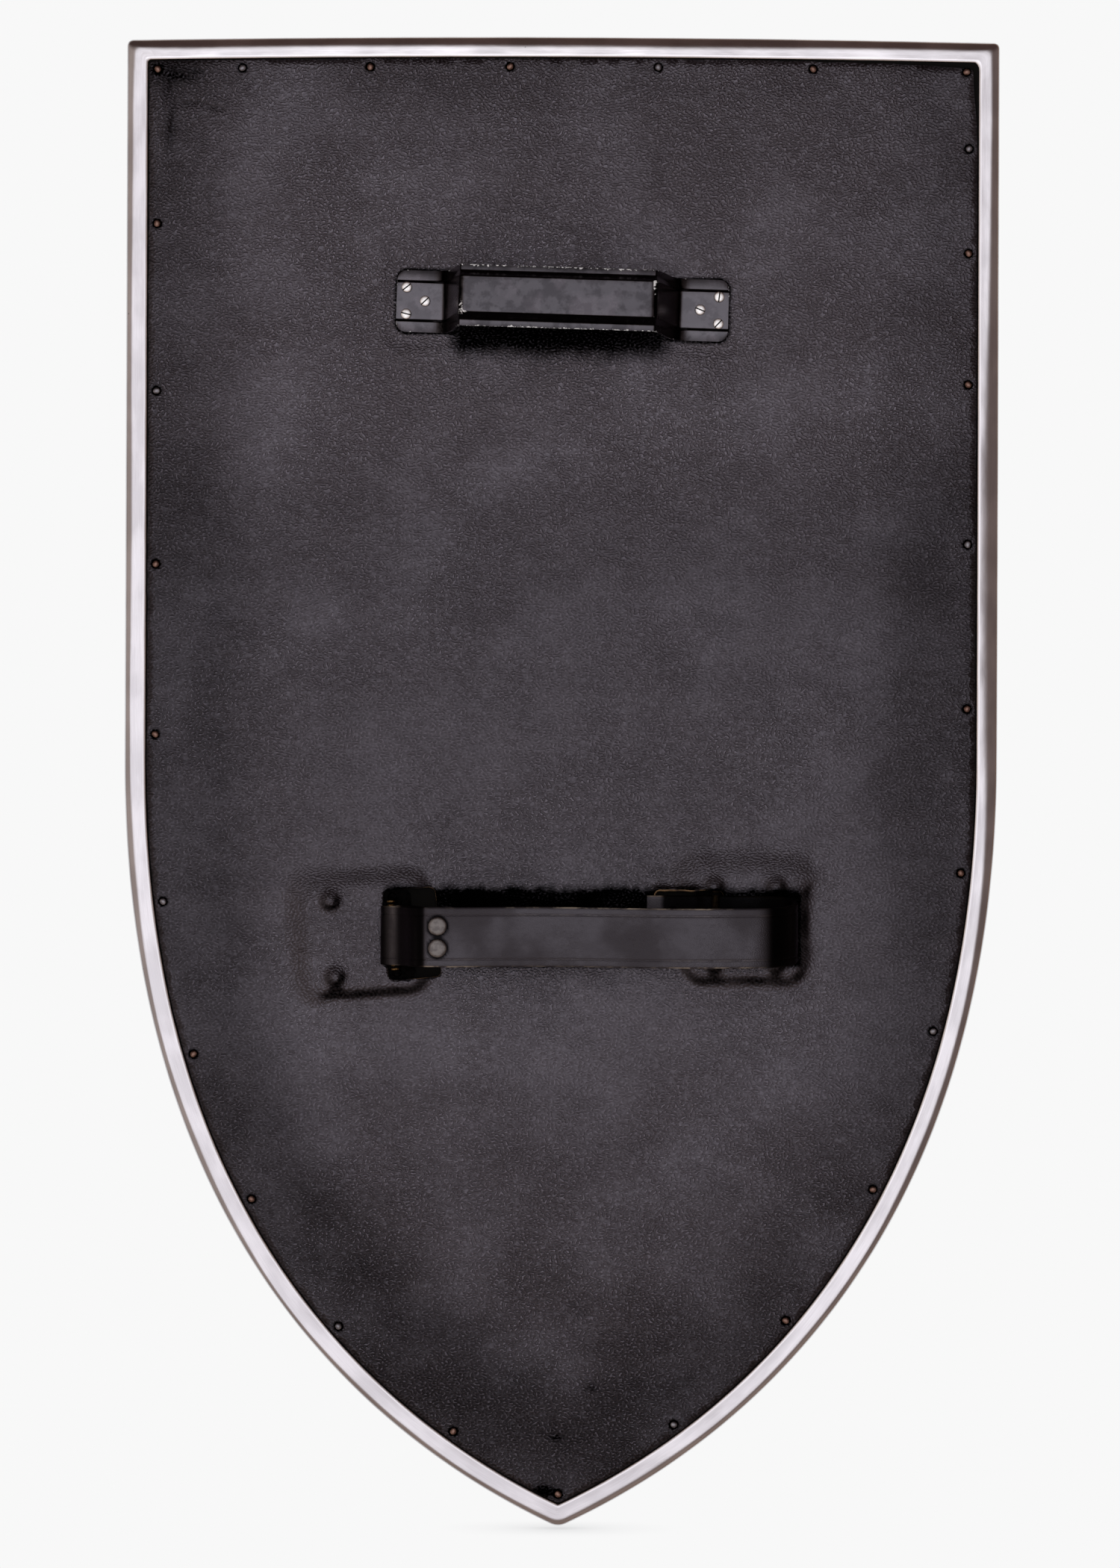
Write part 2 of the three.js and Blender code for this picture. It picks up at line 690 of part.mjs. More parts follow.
function makeBump(wall, x, z) {
  const foot = boardBack - plateThickness - seatGap - wall;
  const radius = bumpRadius - liningThickness + wall;
  const crest = screwHeadHeight + seatGap;
  const between = bumpShares.map(([radiusShare, crestShare]) => [
    radiusShare * radius,
    foot - crestShare * crest,
  ]);
  const profile = [[0, boardBack - wall], [radius, boardBack - wall], [radius, foot], ...between];
  return place(turned([...profile, [0, foot - crest]], screwSides), x, 0, z);
}

function makeOpening({ openingReach, openingHalfWidth }) {
  const from = pinFromMiddle - earRadius - liningGap;
  const points = roundedRectangle(from, openingReach, -openingHalfWidth, openingHalfWidth, openingCorner);
  return stack([
    { y: boardBack + cutOverrun, points },
    { y: boardBack - pinHeight, points },
  ]);
}

// The screws that stay under the lining, clear of the opening.
function coveredScrews({ openingHalfWidth }) {
  return plateScrewPlaces.filter(([x, z]) => x < 0 || Math.abs(z) > openingHalfWidth);
}

function makeLining() {
  const points = outline(rimWidth + liningGap);
  const sheet = stack([
    { y: boardBack, points },
    { y: liningBack, points },
  ]);
  const raised = (anchor, wall, base) => {
    const bumps = coveredScrews(anchor).map(([x, z]) => makeBump(wall, x, z));
    return inAnchorFrame(join([makeTent(wall, base), ...bumps]), anchor);
  };
  const midSheet = (boardBack + liningBack) / 2;
  const tents = anchorPlaces.map((anchor) => raised(anchor, liningThickness, midSheet));
  const hollows = anchorPlaces.map((anchor) => raised(anchor, 0, boardBack + cutOverrun));
  const openings = anchorPlaces.map((anchor) => inAnchorFrame(makeOpening(anchor), anchor));
  return cut(join([sheet, ...tents]), [...hollows, ...openings]);
}

// Everything that goes into the board, with the hole that it needs
const tacks = tackPlaces();
const gripZ = topZ - gripBelowTop;
const gripScrews = gripScrewPlaces();
const tailScrews = [1, -1].map((upper) => [tailScrewX, rightPinZ + (upper * tailScrewSpacing) / 2]);

function boardHole(radius, depth, x, z) {
  return rod(radius, boardBack + depth, liningBack - cutOverrun, tackSides, x, z);
}

function fromGripFrame([u, w]) {
  const spot = new THREE.Vector2(u, w).rotateAround(new THREE.Vector2(), THREE.MathUtils.degToRad(gripTurn));
  return [spot.x, gripZ + spot.y];
}

const screwHoleRadius = screwShankRadius + seatGap;
const screwHoleDepth = screwReach + seatGap;
const screwHole = ([x, z]) => boardHole(screwHoleRadius, screwHoleDepth, x, z);
const tackHoles = tacks.map(({ x, y: z }) => boardHole(tackShankRadius + seatGap, tackLength, x, z));
const gripHoles = gripScrews.map(fromGripFrame).map(screwHole);
const tailHoles = tailScrews.map(screwHole);
const anchorHoles = anchorPlaces.flatMap((anchor) =>
  plateScrewPlaces.map(screwHole).map((hole) => inAnchorFrame(hole, anchor)),
);

addPiece("board_core", cut(makeCore(), [...tackHoles, ...gripHoles, ...tailHoles, ...anchorHoles]), plywood);
addPiece("front_face", makeFace(), faceSteel);
for (const [side, stations] of Object.entries(edges)) {
  addPiece("rim_" + side, makeRim(stations), steel);
}
addPiece("back_lining", cut(makeLining(), [...tackHoles, ...gripHoles]), liningLeather);

tacks.forEach(({ x, y: z }, i) => {
  const number = String(i + 1).padStart(2, "0");
  const tack = addPiece("lining_tack_" + number, makeTack(), i % 3 === 1 ? zinc : copper);
  tack.position.set(x, liningBack - seatGap, z);
});

// Grip and its screws, in a frame turned with the grip
const grip = new THREE.Group();
grip.position.set(0, liningBack, gripZ);
grip.rotation.y = THREE.MathUtils.degToRad(-gripTurn);
shield.add(grip);

const tabBack = -(tabDepth + gripSheet);
const gripScrewLength = screwReach + liningThickness - tabBack;
const tabHoles = gripScrews.map(([u, w]) =>
  rod(screwHoleRadius, tabBack - cutOverrun, cutOverrun, tackSides, u, w),
);
addPiece("hand_grip", cut(makeGrip(), tabHoles), blackPaint, grip);
gripScrews.forEach(([u, w], i) => {
  const screw = addPiece("grip_screw_" + (i + 1), makeScrew(screwHeadRadius, gripScrewLength), zinc, grip);
  screw.position.set(u, tabBack - seatGap, w);
  screw.rotation.y = THREE.MathUtils.degToRad(-gripSlotTurns[i]);
});

// Strap with its rivets and tail screws
const rivetPlaces = [1, -1].map((upper) => [rivetX, strapZ + (upper * rivetSpacing) / 2]);
const rivetHoles = rivetPlaces.map(([x, z]) =>
  rod(rivetPostRadius + seatGap, rivetSeat - cutOverrun, burrSeat + cutOverrun, rivetSides, x, z),
);
const tailBack = boardBack - tailHeight - strapThickness / 2;
const strapTailHoles = tailScrews.map(([x, z]) =>
  rod(screwHoleRadius, tailBack - cutOverrun, boardBack, tackSides, x, z),
);
addPiece("arm_strap", cut(makeStrap(), [...rivetHoles, ...strapTailHoles]), strapLeather);
rivetPlaces.forEach(([x, z], i) => {
  addPiece("strap_rivet_" + (i + 1), place(makeRivet(), x, 0, z), zinc);
  addPiece("rivet_burr_" + (i + 1), place(makeBurr(), x, 0, z), zinc);
});
tailScrews.forEach(([x, z], i) => {
  const length = screwReach + boardBack - tailBack;
  const screw = addPiece("tail_screw_" + (i + 1), makeScrew(screwHeadRadius, length), blackSteel);
  screw.position.set(x, tailBack - seatGap, z);
});

// Anchors with their pins and screws
for (const { side, x, z, turn } of anchorPlaces) {
  const anchor = new THREE.Group();
  anchor.position.set(x, 0, z);
  anchor.rotation.y = THREE.MathUtils.degToRad(-turn);
  shield.add(anchor);
  addPiece("anchor_plate_" + side, makePlate(), blackSteel, anchor);
  addPiece("anchor_pin_" + side, makePin(), brass, anchor);
  plateScrewPlaces.forEach(([u, w], i) => {
    const length = screwReach + plateThickness;
    const name = "anchor_" + side + "_screw_" + (i + 1);
    const screw = addPiece(name, makeScrew(plateScrewHeadRadius, length), blackSteel, anchor);
    screw.position.set(u, plateBack - seatGap, w);
  });
}

export default shield;
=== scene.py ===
import math
from functools import partial

import bmesh
import bpy
import numpy as np
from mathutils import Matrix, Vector, geometry, kdtree


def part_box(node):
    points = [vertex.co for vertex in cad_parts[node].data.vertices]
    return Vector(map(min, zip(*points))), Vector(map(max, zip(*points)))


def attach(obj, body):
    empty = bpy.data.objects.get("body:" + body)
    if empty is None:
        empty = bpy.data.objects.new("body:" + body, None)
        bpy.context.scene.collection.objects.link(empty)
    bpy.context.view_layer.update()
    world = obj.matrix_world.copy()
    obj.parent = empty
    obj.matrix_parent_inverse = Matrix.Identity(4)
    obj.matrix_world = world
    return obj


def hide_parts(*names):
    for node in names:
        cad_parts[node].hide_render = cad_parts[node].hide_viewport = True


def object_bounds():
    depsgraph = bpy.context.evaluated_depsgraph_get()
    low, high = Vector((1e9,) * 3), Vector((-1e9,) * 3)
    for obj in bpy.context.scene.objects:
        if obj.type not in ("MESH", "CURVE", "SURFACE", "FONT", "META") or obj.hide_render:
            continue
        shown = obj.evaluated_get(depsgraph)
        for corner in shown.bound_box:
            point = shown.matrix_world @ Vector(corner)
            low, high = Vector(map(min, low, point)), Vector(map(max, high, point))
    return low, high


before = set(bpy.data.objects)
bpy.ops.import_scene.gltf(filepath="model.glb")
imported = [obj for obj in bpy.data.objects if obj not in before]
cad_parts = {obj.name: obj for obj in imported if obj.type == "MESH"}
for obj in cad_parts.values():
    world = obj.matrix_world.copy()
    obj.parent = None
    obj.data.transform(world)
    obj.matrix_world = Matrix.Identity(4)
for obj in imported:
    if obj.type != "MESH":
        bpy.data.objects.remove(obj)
cad_low, cad_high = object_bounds()

MM = 0.001
scene = bpy.context.scene


def new_object(name, data):
    made = bpy.data.objects.new(name, data)
    scene.collection.objects.link(made)
    return made


def centre_of(node):
    """Middle of a CAD node's box, in millimetres."""
    low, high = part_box(node)
    return np.array((low + high) / 2) / MM


# Outline, from the frame and the same curve as the board's
half_width = cad_high.x / MM
top_z = cad_high.z / MM
shield_height = 2 * top_z
top_rise = 2.3
corner_z = top_z - top_rise
straight_share = 0.486
shoulder_pull_share = 0.3325
point_pull_shares = (0.375, 0.05)
shoulder_z = top_z - straight_share * shield_height
side_handles = np.array([
    (half_width, shoulder_z),
    (half_width, shoulder_z - shoulder_pull_share * shield_height),
    (point_pull_shares[0] * half_width, -top_z + point_pull_shares[1] * shield_height),
    (0, -top_z),
])

# Levels along Y
rim_wall = 1.2
board_back = -10.0
lining_thickness = 1.3
lining_back = board_back - lining_thickness
rim_back = board_back - rim_wall

# Camera: it looks level along the board's normal at the middle of the photograph's frame
photo_scale = 0.38
camera_distance = 2500.0
photo_height = 2100 * photo_scale
photo_middle = (-0.4, -1.0)
camera_roll = -0.22
sensor_height = 36.0


def make_camera():
    data = bpy.data.cameras.new("camera")
    data.sensor_width = sensor_height
    data.lens = sensor_height * camera_distance / photo_height
    data.clip_start = 0.01
    data.clip_end = 100
    camera = new_object("camera", data)
    x, z = photo_middle
    camera.location = Vector((x, rim_back - camera_distance, z)) * MM
    camera.rotation_euler = (math.pi / 2, math.radians(camera_roll), 0)
    scene.camera = camera


# Points and faces
most_of_side = 0.48  # of a side, that the fillet at one of its ends may take
ripple_waves, wave_sizes, ripple_level = 9, (0.7, 1.7), 3.2


def bezier(handles, shares):
    t = np.asarray(shares)[:, None]
    a, b, c, d = handles
    return (1 - t) ** 3 * a + 3 * (1 - t) ** 2 * t * b + 3 * (1 - t) * t**2 * c + t**3 * d


def run_of(line):
    """Length along a line of points, at each point."""
    return np.concatenate([[0], np.cumsum(np.linalg.norm(np.diff(line, axis=0), axis=1))])


def evenly(line, spacing):
    """The same line with its points at an even spacing."""
    run = run_of(line)
    wanted = np.linspace(0, run[-1], max(2, round(run[-1] / spacing) + 1))
    return np.column_stack([np.interp(wanted, run, column) for column in line.T])


def way_of(line):
    way = np.gradient(line, axis=0)
    return way / np.linalg.norm(way, axis=1)[:, None]


def fillet(points, radii, steps):
    """Rounds the inner corners of a line of points. Each corner with a radius gets steps + 1 points."""
    made = [points[0]]
    for before, at, after, radius in zip(points, points[1:], points[2:], radii):
        to_before, to_after = before - at, after - at
        long_before, long_after = np.linalg.norm(to_before), np.linalg.norm(to_after)
        to_before, to_after = to_before / long_before, to_after / long_after
        turn = math.acos(np.clip(-(to_before @ to_after), -1, 1))
        reach = min(radius * math.tan(turn / 2), most_of_side * long_before, most_of_side * long_after)
        if radius == 0:
            made.append(at)
            continue
        for u in np.linspace(0, 1, steps + 1):
            made.append(at + (1 - u) ** 2 * reach * to_before + u**2 * reach * to_after)
    made.append(points[-1])
    return np.array(made)


def smoothstep(low, high, value):
    share = np.clip((value - low) / (high - low), 0, 1)
    return share * share * (3 - 2 * share)


def ripple(x, z, size, seed):
    """An even, seamless unevenness between about -1 and 1, with bumps of about the given size."""
    rng = np.random.default_rng(seed)
    total = np.zeros_like(x)
    for _ in range(ripple_waves):
        angle, phase = rng.uniform(0, 2 * math.pi, 2)
        wave = 2 * math.pi / (2 * size * rng.uniform(*wave_sizes))
        total += np.sin(wave * (x * math.cos(angle) + z * math.sin(angle)) + phase)
    return total / ripple_level


def rounded_rectangle_distance(u, w, low, high, radius):
    """Signed distance to a rectangle with round corners, negative inside."""
    middle = (np.array(low) + high) / 2
    half = (np.array(high) - low) / 2 - radius
    du = np.abs(u - middle[0]) - half[0]
    dw = np.abs(w - middle[1]) - half[1]
    outside = np.hypot(np.maximum(du, 0), np.maximum(dw, 0))
    return outside + np.minimum(np.maximum(du, dw), 0) - radius


def tube_faces(rings, count, closed_way=False, caps=False):
    """Quads between rings of count points each. The rings are closed loops."""
    faces = []
    last = rings if closed_way else rings - 1
    for ring in range(last):
        here, there = ring * count, (ring + 1) % rings * count
        for i in range(count):
            j = (i + 1) % count
            faces.append((here + i, here + j, there + j, there + i))
    if caps:
        faces.append(tuple(reversed(range(count))))
        faces.append(tuple(range((rings - 1) * count, rings * count)))
    return faces


def turned(profile, sides, out_of_round=0.0):
    """A closed turned body round the Y axis. The profile starts and ends on the axis."""
    angles = np.arange(sides) * 2 * math.pi / sides
    wobble = 1 + out_of_round * (np.sin(2 * angles + 0.7) + 0.5 * np.sin(3 * angles + 2.1))
    points = [(0, profile[0][1], 0)]
    for radius, y in profile[1:-1]:
        points += [(radius * s * math.cos(a), y, radius * s * math.sin(a)) for a, s in zip(angles, wobble)]
    points.append((0, profile[-1][1], 0))
    rings = len(profile) - 2
    last = 1 + (rings - 1) * sides
    sectors = [(i, (i + 1) % sides) for i in range(sides)]
    faces = [(0, 1 + j, 1 + i) for i, j in sectors]
    for here in range(1, last, sides):
        there = here + sides
        faces += [(here + i, here + j, there + j, there + i) for i, j in sectors]
    faces += [(last + i, last + j, len(points) - 1) for i, j in sectors]
    return np.array(points), faces


def add_values(mesh, key, values):
    """Keeps a number or a vector for each of the mesh's points, or for each corner of its faces."""
    values = np.asarray(values, dtype=np.float32)
    kind, field = ("FLOAT", "value") if values.ndim == 1 else ("FLOAT_VECTOR", "vector")
    layer = mesh.attributes.new(key, kind, "POINT" if len(values) == len(mesh.vertices) else "CORNER")
    layer.data.foreach_set(field, values.ravel())


def make_mesh(name, points, faces, attributes=(), sharp_from=40):
    mesh = bpy.data.meshes.new(name)
    mesh.from_pydata((np.asarray(points) * MM).tolist(), [], faces)
    for key, values in dict(attributes).items():
        add_values(mesh, key, values)
    mesh.validate()
    mesh.shade_smooth()
    mesh.set_sharp_from_angle(angle=math.radians(sharp_from))
    return mesh


def recalculate(mesh):
    """Turns all faces of a closed mesh outwards."""
    work = bmesh.new()
    work.from_mesh(mesh)
    bmesh.ops.recalc_face_normals(work, faces=work.faces)
    work.to_mesh(mesh)
    work.free()


def normals_of(mesh):
    normals = np.empty(3 * len(mesh.vertices), dtype=np.float32)
    mesh.vertex_normals.foreach_get("vector", normals)
    return normals.reshape(-1, 3)


def settle(piece):
    """Applies a piece's modifiers."""
    depsgraph = bpy.context.evaluated_depsgraph_get()
    mesh = bpy.data.meshes.new_from_object(piece.evaluated_get(depsgraph))
    piece.modifiers.clear()
    piece.data = mesh


def soften(piece, name, width, segments, sharp_from):
    """Bevels a piece's sharp edges."""
    soft = piece.modifiers.new(name, "BEVEL")
    soft.width = width * MM
    soft.segments = segments
    soft.limit_method = "ANGLE"
    soft.angle_limit = math.radians(sharp_from)


def add_piece(name, mesh, materials, stands_for, place=(0, 0, 0), turn=(0, 0, 0)):
    """A piece of the visual model, in place of the CAD nodes that it stands for."""
    piece = new_object(name, mesh)
    piece.location = place
    piece.rotation_euler = turn
    for material in materials:
        mesh.materials.append(material)
    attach(piece, "root")
    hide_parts(*stands_for)
    return piece


# Materials
smooth = {"interpolation_type": "SMOOTHSTEP"}
times_plus = {"operation": "MULTIPLY_ADD"}
times = {"operation": "MULTIPLY"}
mixed = {"data_type": "RGBA", "output": 2}
unlit_black = "#010101"


def colour(code):
    """A colour written as sRGB hex, in linear values."""
    levels = [int(code[i : i + 2], 16) / 255 for i in (1, 3, 5)]
    return tuple(v / 12.92 if v <= 0.04045 else ((v + 0.055) / 1.055) ** 2.4 for v in levels) + (1.0,)


def add_node(tree, kind, inputs=(), output=0, **settings):
    """Adds a node with its settings, and gives one of its outputs. An input, by its order or its name, is
    a value or the socket that is linked to it."""
    node = tree.nodes.new("ShaderNode" + kind)
    for key, value in settings.items():
        setattr(node, key, value)
    for key, value in inputs.items() if isinstance(inputs, dict) else enumerate(inputs):
        if isinstance(value, bpy.types.NodeSocket):
            tree.links.new(value, node.inputs[key])
        else:
            node.inputs[key].default_value = value
    return node.outputs[output] if len(node.outputs) else None


def node_adder(owner):
    """Clears the nodes of a material or world, and gives the function that adds nodes to it."""
    owner.use_nodes = True
    owner.node_tree.nodes.clear()
    return partial(add_node, owner.node_tree)


def new_material(name):
    material = bpy.data.materials.new(name)
    return material, node_adder(material)


def per_metre(size):
    """Texture scale that gives a pattern of that size in millimetres."""
    return 1 / (size * MM)


def clouds_of(place, size, detail, rough=0.5):
    """Inputs of a noise whose clouds are about that size in millimetres."""
    return {"Vector": place, "Scale": per_metre(size), "Detail": detail, "Roughness": rough}


def bare_metal(base, rough, bump):
    """Inputs of a metal surface."""
    return {"Base Color": base, "Metallic": 1.0, "Roughness": rough, "Normal": bump}


def coated(base, painted_shade_and_dullness, rough, bump, ior, level, tint):
    """Inputs of a waxed or painted surface. Its share of painted shade and dullness turns it to black
    metal, which gives back no light.
    """
    looks = {"Base Color": base, "Metallic": painted_shade_and_dullness, "Roughness": rough, "Normal": bump}
    return looks | {"IOR": ior, "Specular IOR Level": level, "Specular Tint": tint}


def leather_height(add, grain, patch):
    """Height of a crinkled leather grain, from 0 in its creases to 1 on its tops. The grain runs in short
    worm-like folds, longer along X than along Z, and stands higher towards the shield's top and point."""
    place = add("TexCoord", (), "Object")
    push = add("TexNoise", clouds_of(place, 3.0 * grain, 2), "Color")
    push = add("VectorMath", (push, (0.5, 0.5, 0.5)), operation="SUBTRACT")
    pushed = add("VectorMath", (push, (1.2 * grain * MM,) * 3, place), **times_plus)
    x, y, z = (add("SeparateXYZ", (pushed,), axis) for axis in "XYZ")
    across = add("Math", (x, 0.72), **times)
    up = add("Math", (y, 0.6, z), **times_plus)
    drawn = add("CombineXYZ", (across, up))
    wave_inputs = {"Vector": drawn, "Scale": per_metre(2.0 * grain), "Frequency": 2.0, "Anisotropy": 0.0}
    waves = add("TexGabor", wave_inputs, gabor_type="2D")
    cell_inputs = {"Vector": drawn, "Scale": per_metre(1.6 * grain)}
    cells = add("TexVoronoi", cell_inputs, feature="DISTANCE_TO_EDGE", voronoi_dimensions="2D")
    waves = add("MapRange", (waves, 0.28, 0.66), **smooth)
    cells = add("MapRange", (cells, 0.0, 0.16, 0.45, 1.0), **smooth)
    tops = add("Math", (waves, cells), **times)
    patches = add("TexNoise", clouds_of(place, patch, 3))
    patches = add("MapRange", (patches, 0.35, 0.62, 0.6, 1.0), **smooth)
    level = add("SeparateXYZ", (place,), "Z")
    upper = add("MapRange", (level, 60 * MM, 260 * MM), **smooth)
    lower = add("MapRange", (level, -120 * MM, -280 * MM), **smooth)
    strength = add("Math", (upper, 0.4, 0.6), **times_plus)
    strength = add("Math", (lower, 0.5, strength), **times_plus)
    strength = add("Math", (patches, strength), **times)
    folds = add("Math", (tops, strength), **times)
    pores = add("TexNoise", clouds_of(place, 0.3 * grain, 2))
    height = add("Math", (pores, 0.12, folds), **times_plus)
    # The share of crease, which the lining paints as shade
    creased = add("Math", (strength, folds), operation="SUBTRACT")
    return place, height, tops, creased


def lining_leather():
    """Crinkle-grained black leather, drum dyed and lightly waxed: it shines softly on its tops. Its creases
    and slopes are painted dark as shade, and where its painted shade is full it is black and gives back
    no light."""
    material, add = new_material("crinkled_black_leather")
    place, height, tops, creased = leather_height(add, grain=1.5, patch=60)
    cloud = add("TexNoise", clouds_of(place, 70, 5, 0.55))
    cloud = add("MapRange", (cloud, 0.32, 0.68), **smooth)
    drawn = add("VectorMath", (place, (0.6, 1.0, 1.0)), **times)
    mottle = add("TexNoise", clouds_of(drawn, 15, 5, 0.6))
    mottle = add("MapRange", (mottle, 0.36, 0.64), **smooth)
    painted_shade_share = add("Attribute", (), "Fac", attribute_name="painted_shade")
    # Painted shade from the grain's creases and from the mesh, with random dullness from the mottle
    painted_shade_and_dullness = add("Math", (mottle, 0.07, -0.03), **times_plus)
    painted_shade_and_dullness = add("Math", (creased, 0.26, painted_shade_and_dullness), **times_plus)
    painted_shade_and_dullness = add("Math", (painted_shade_and_dullness, painted_shade_share), operation="ADD", use_clamp=True)
    # The grain's creases are painted darker than its tops, as shade
    base = add("Mix", {0: tops, 6: colour("#070607"), 7: colour("#2c282e")}, **mixed)
    base = add("Mix", {0: painted_shade_and_dullness, 6: base, 7: colour(unlit_black)}, **mixed)
    rough = add("Math", (cloud, -0.08, 0.42), **times_plus)
    rough = add("Math", (tops, -0.08, rough), **times_plus)
    bump = add("Bump", {"Height": height, "Strength": 1.0, "Distance": 0.30 * MM})
    looks = coated(base, painted_shade_and_dullness, rough, bump, ior=1.6, level=1.0, tint=(1.0, 0.93, 1.05, 1.0))
    surface = add("BsdfPrincipled", looks)
    add("OutputMaterial", (surface,))
    return material


def raw_leather():
    """Cut edge of tanned leather: matt, fibrous, tan."""
    material, add = new_material("raw_leather_edge")
    place = add("TexCoord", (), "Object")
    fibres = add("TexNoise", clouds_of(place, 0.5, 3))
    stain = add("TexNoise", clouds_of(place, 9, 2))
    stain = add("MapRange", (stain, 0.42, 0.58), **smooth)
    tan = add("Mix", {0: fibres, 6: colour("#6d5138"), 7: colour("#a5835f")}, **mixed)
    base = add("Mix", {0: stain, 6: colour("#2c2420"), 7: tan}, **mixed)
    bump = add("Bump", {"Height": fibres, "Strength": 0.8, "Distance": 0.15 * MM})
    surface = add("BsdfPrincipled", {"Base Color": base, "Roughness": 0.85, "Normal": bump})
    add("OutputMaterial", (surface,))
    return material


def strap_leather():
    """Black bridle leather, smoother than the lining and waxed. Its cut edges are rubbed grey and tan. The
    grain's creases are painted darker as shade, its edge creases and the turn up to the rivets are painted
    lighter as a highlight, and its bends and hidden parts are painted black as shade.
    """
    material, add = new_material("black_bridle_leather")
    place, height, tops, _ = leather_height(add, grain=0.8, patch=25)
    edge = add("Attribute", (), "Fac", attribute_name="raw_edge")
    crease = add("Attribute", (), "Fac", attribute_name="crease")
    painted_shade_and_dullness = add("Attribute", (), "Fac", attribute_name="painted_shade")
    rub = add("TexNoise", clouds_of(place, 6, 4))
    # Painted highlight on the edge creases and the turn up to the rivets
    highlight_share = add("MapRange", (rub, 0.35, 0.7, 0, 0.7), **smooth)
    highlight_share = add("Math", (crease, highlight_share), **times)
    grey = add("MapRange", (rub, 0.40, 0.60), **smooth)
    worn = add("TexNoise", clouds_of(place, 28, 5))
    worn = add("MapRange", (worn, 0.38, 0.62), **smooth)
    # The grain's creases are painted darker than its tops, as shade
    face = add("Mix", {0: tops, 6: colour("#0c0a0c"), 7: colour("#171417")}, **mixed)
    face = add("Mix", {0: highlight_share, 6: face, 7: colour("#4c4644")}, **mixed)
    cut = add("Mix", {0: grey, 6: colour("#2a2422"), 7: colour("#8a7b6a")}, **mixed)
    base = add("Mix", {0: edge, 6: face, 7: cut}, **mixed)
    base = add("Mix", {0: worn, 6: base, 7: colour("#100d10")}, **mixed)
    # Painted shade from the mesh turns it black
    base = add("Mix", {0: painted_shade_and_dullness, 6: base, 7: colour(unlit_black)}, **mixed)
    rough = add("Math", (edge, 0.3, 0.29), **times_plus)
    rough = add("Math", (worn, 0.2, rough), **times_plus)
    bump = add("Bump", {"Height": height, "Strength": 1.0, "Distance": 0.08 * MM})
    looks = coated(base, painted_shade_and_dullness, rough, bump, ior=1.5, level=0.65, tint=(1.0, 0.93, 1.04, 1.0))
    surface = add("BsdfPrincipled", looks)
    add("OutputMaterial", (surface,))
    return material


def rim_steel():
    """Polished mild steel, rolled and rubbed lengthwise: bright, a little cloudy, with small pits and
    fine scratches, and brightest where its edge is cut. Where it faces left, right and down it is painted
    darker, as shade."""
    material, add = new_material("polished_rolled_steel")
    place = add("TexCoord", (), "Object")
    along = add("Attribute", (), "Vector", attribute_name="along_rim")
    cut = add("Attribute", (), "Fac", attribute_name="cut_edge")
    tarnish = add("Attribute", (), "Fac", attribute_name="tarnish")
    drawn = add("VectorMath", (along, (per_metre(22), per_metre(0.3), 0)), **times)
    scratches = add("TexNoise", {"Vector": drawn, "Scale": 1.0, "Detail": 3, "Roughness": 0.7})
    drawn = add("VectorMath", (along, (per_metre(30), per_metre(12), 0)), **times)
    clouds = add("TexNoise", {"Vector": drawn, "Scale": 1.0, "Detail": 3})
    pits = add("TexVoronoi", {"Vector": place, "Scale": per_metre(14)}, feature="F1")
    clean = add("MapRange", (pits, 0.015, 0.03), **smooth)
    pale = add("MapRange", (clouds, 0.35, 0.65), **smooth)
    streaks = add("MapRange", (scratches, 0.42, 0.62, 0.0, 0.12), **smooth)
    base = add("Mix", {0: pale, 6: colour("#cfcdd0"), 7: colour("#e6e4e7")}, **mixed)
    base = add("Mix", {0: streaks, 6: base, 7: colour("#9c9798")}, **mixed)
    # Where the rim faces left, right and down its colour is painted darker, as shade
    base = add("Mix", {0: tarnish, 6: base, 7: colour("#8d878a")}, **mixed)
    base = add("Mix", {0: cut, 6: base, 7: colour("#f4f2f4")}, **mixed)
    base = add("Mix", {0: clean, 6: colour("#4a4140"), 7: base}, **mixed)
    rough = add("Math", (scratches, 0.12, 0.09), **times_plus)
    rough = add("Math", (clouds, 0.08, rough), **times_plus)
    rough = add("Math", (cut, 0.12, rough), **times_plus)
    height = add("Math", (scratches, 0.12, clean), **times_plus)
    height = add("Math", (clouds, 8.0, height), **times_plus)
    bump = add("Bump", {"Height": height, "Strength": 1.0, "Distance": 0.02 * MM})
    surface = add("BsdfPrincipled", bare_metal(base, rough, bump))
    add("OutputMaterial", (surface,))
    return material


def face_steel():
    """Cold-rolled steel sheet, wiped with oil: satin, with lines along the rolling and faint clouds."""
    material, add = new_material("cold_rolled_steel_sheet")
    place = add("TexCoord", (), "Object")
    drawn = add("VectorMath", (place, (per_metre(0.8), per_metre(0.8), per_metre(45))), **times)
    lines = add("TexNoise", {"Vector": drawn, "Scale": 1.0, "Detail": 4, "Roughness": 0.65})
    clouds = add("TexNoise", clouds_of(place, 80, 5))
    pale = add("MapRange", (clouds, 0.35, 0.65), **smooth)
    bright = add("MapRange", (lines, 0.3, 0.7, 0, 0.35), **smooth)
    base = add("Mix", {0: pale, 6: colour("#aba8aa"), 7: colour("#b9b6b8")}, **mixed)
    base = add("Mix", {0: bright, 6: base, 7: colour("#d2cfd1")}, **mixed)
    rough = add("Math", (lines, 0.12, 0.2), **times_plus)
    rough = add("Math", (clouds, 0.16, rough), **times_plus)
    bump = add("Bump", {"Height": lines, "Strength": 1.0, "Distance": 0.012 * MM})
    surface = add("BsdfPrincipled", bare_metal(base, rough, bump))
    add("OutputMaterial", (surface,))
    return material


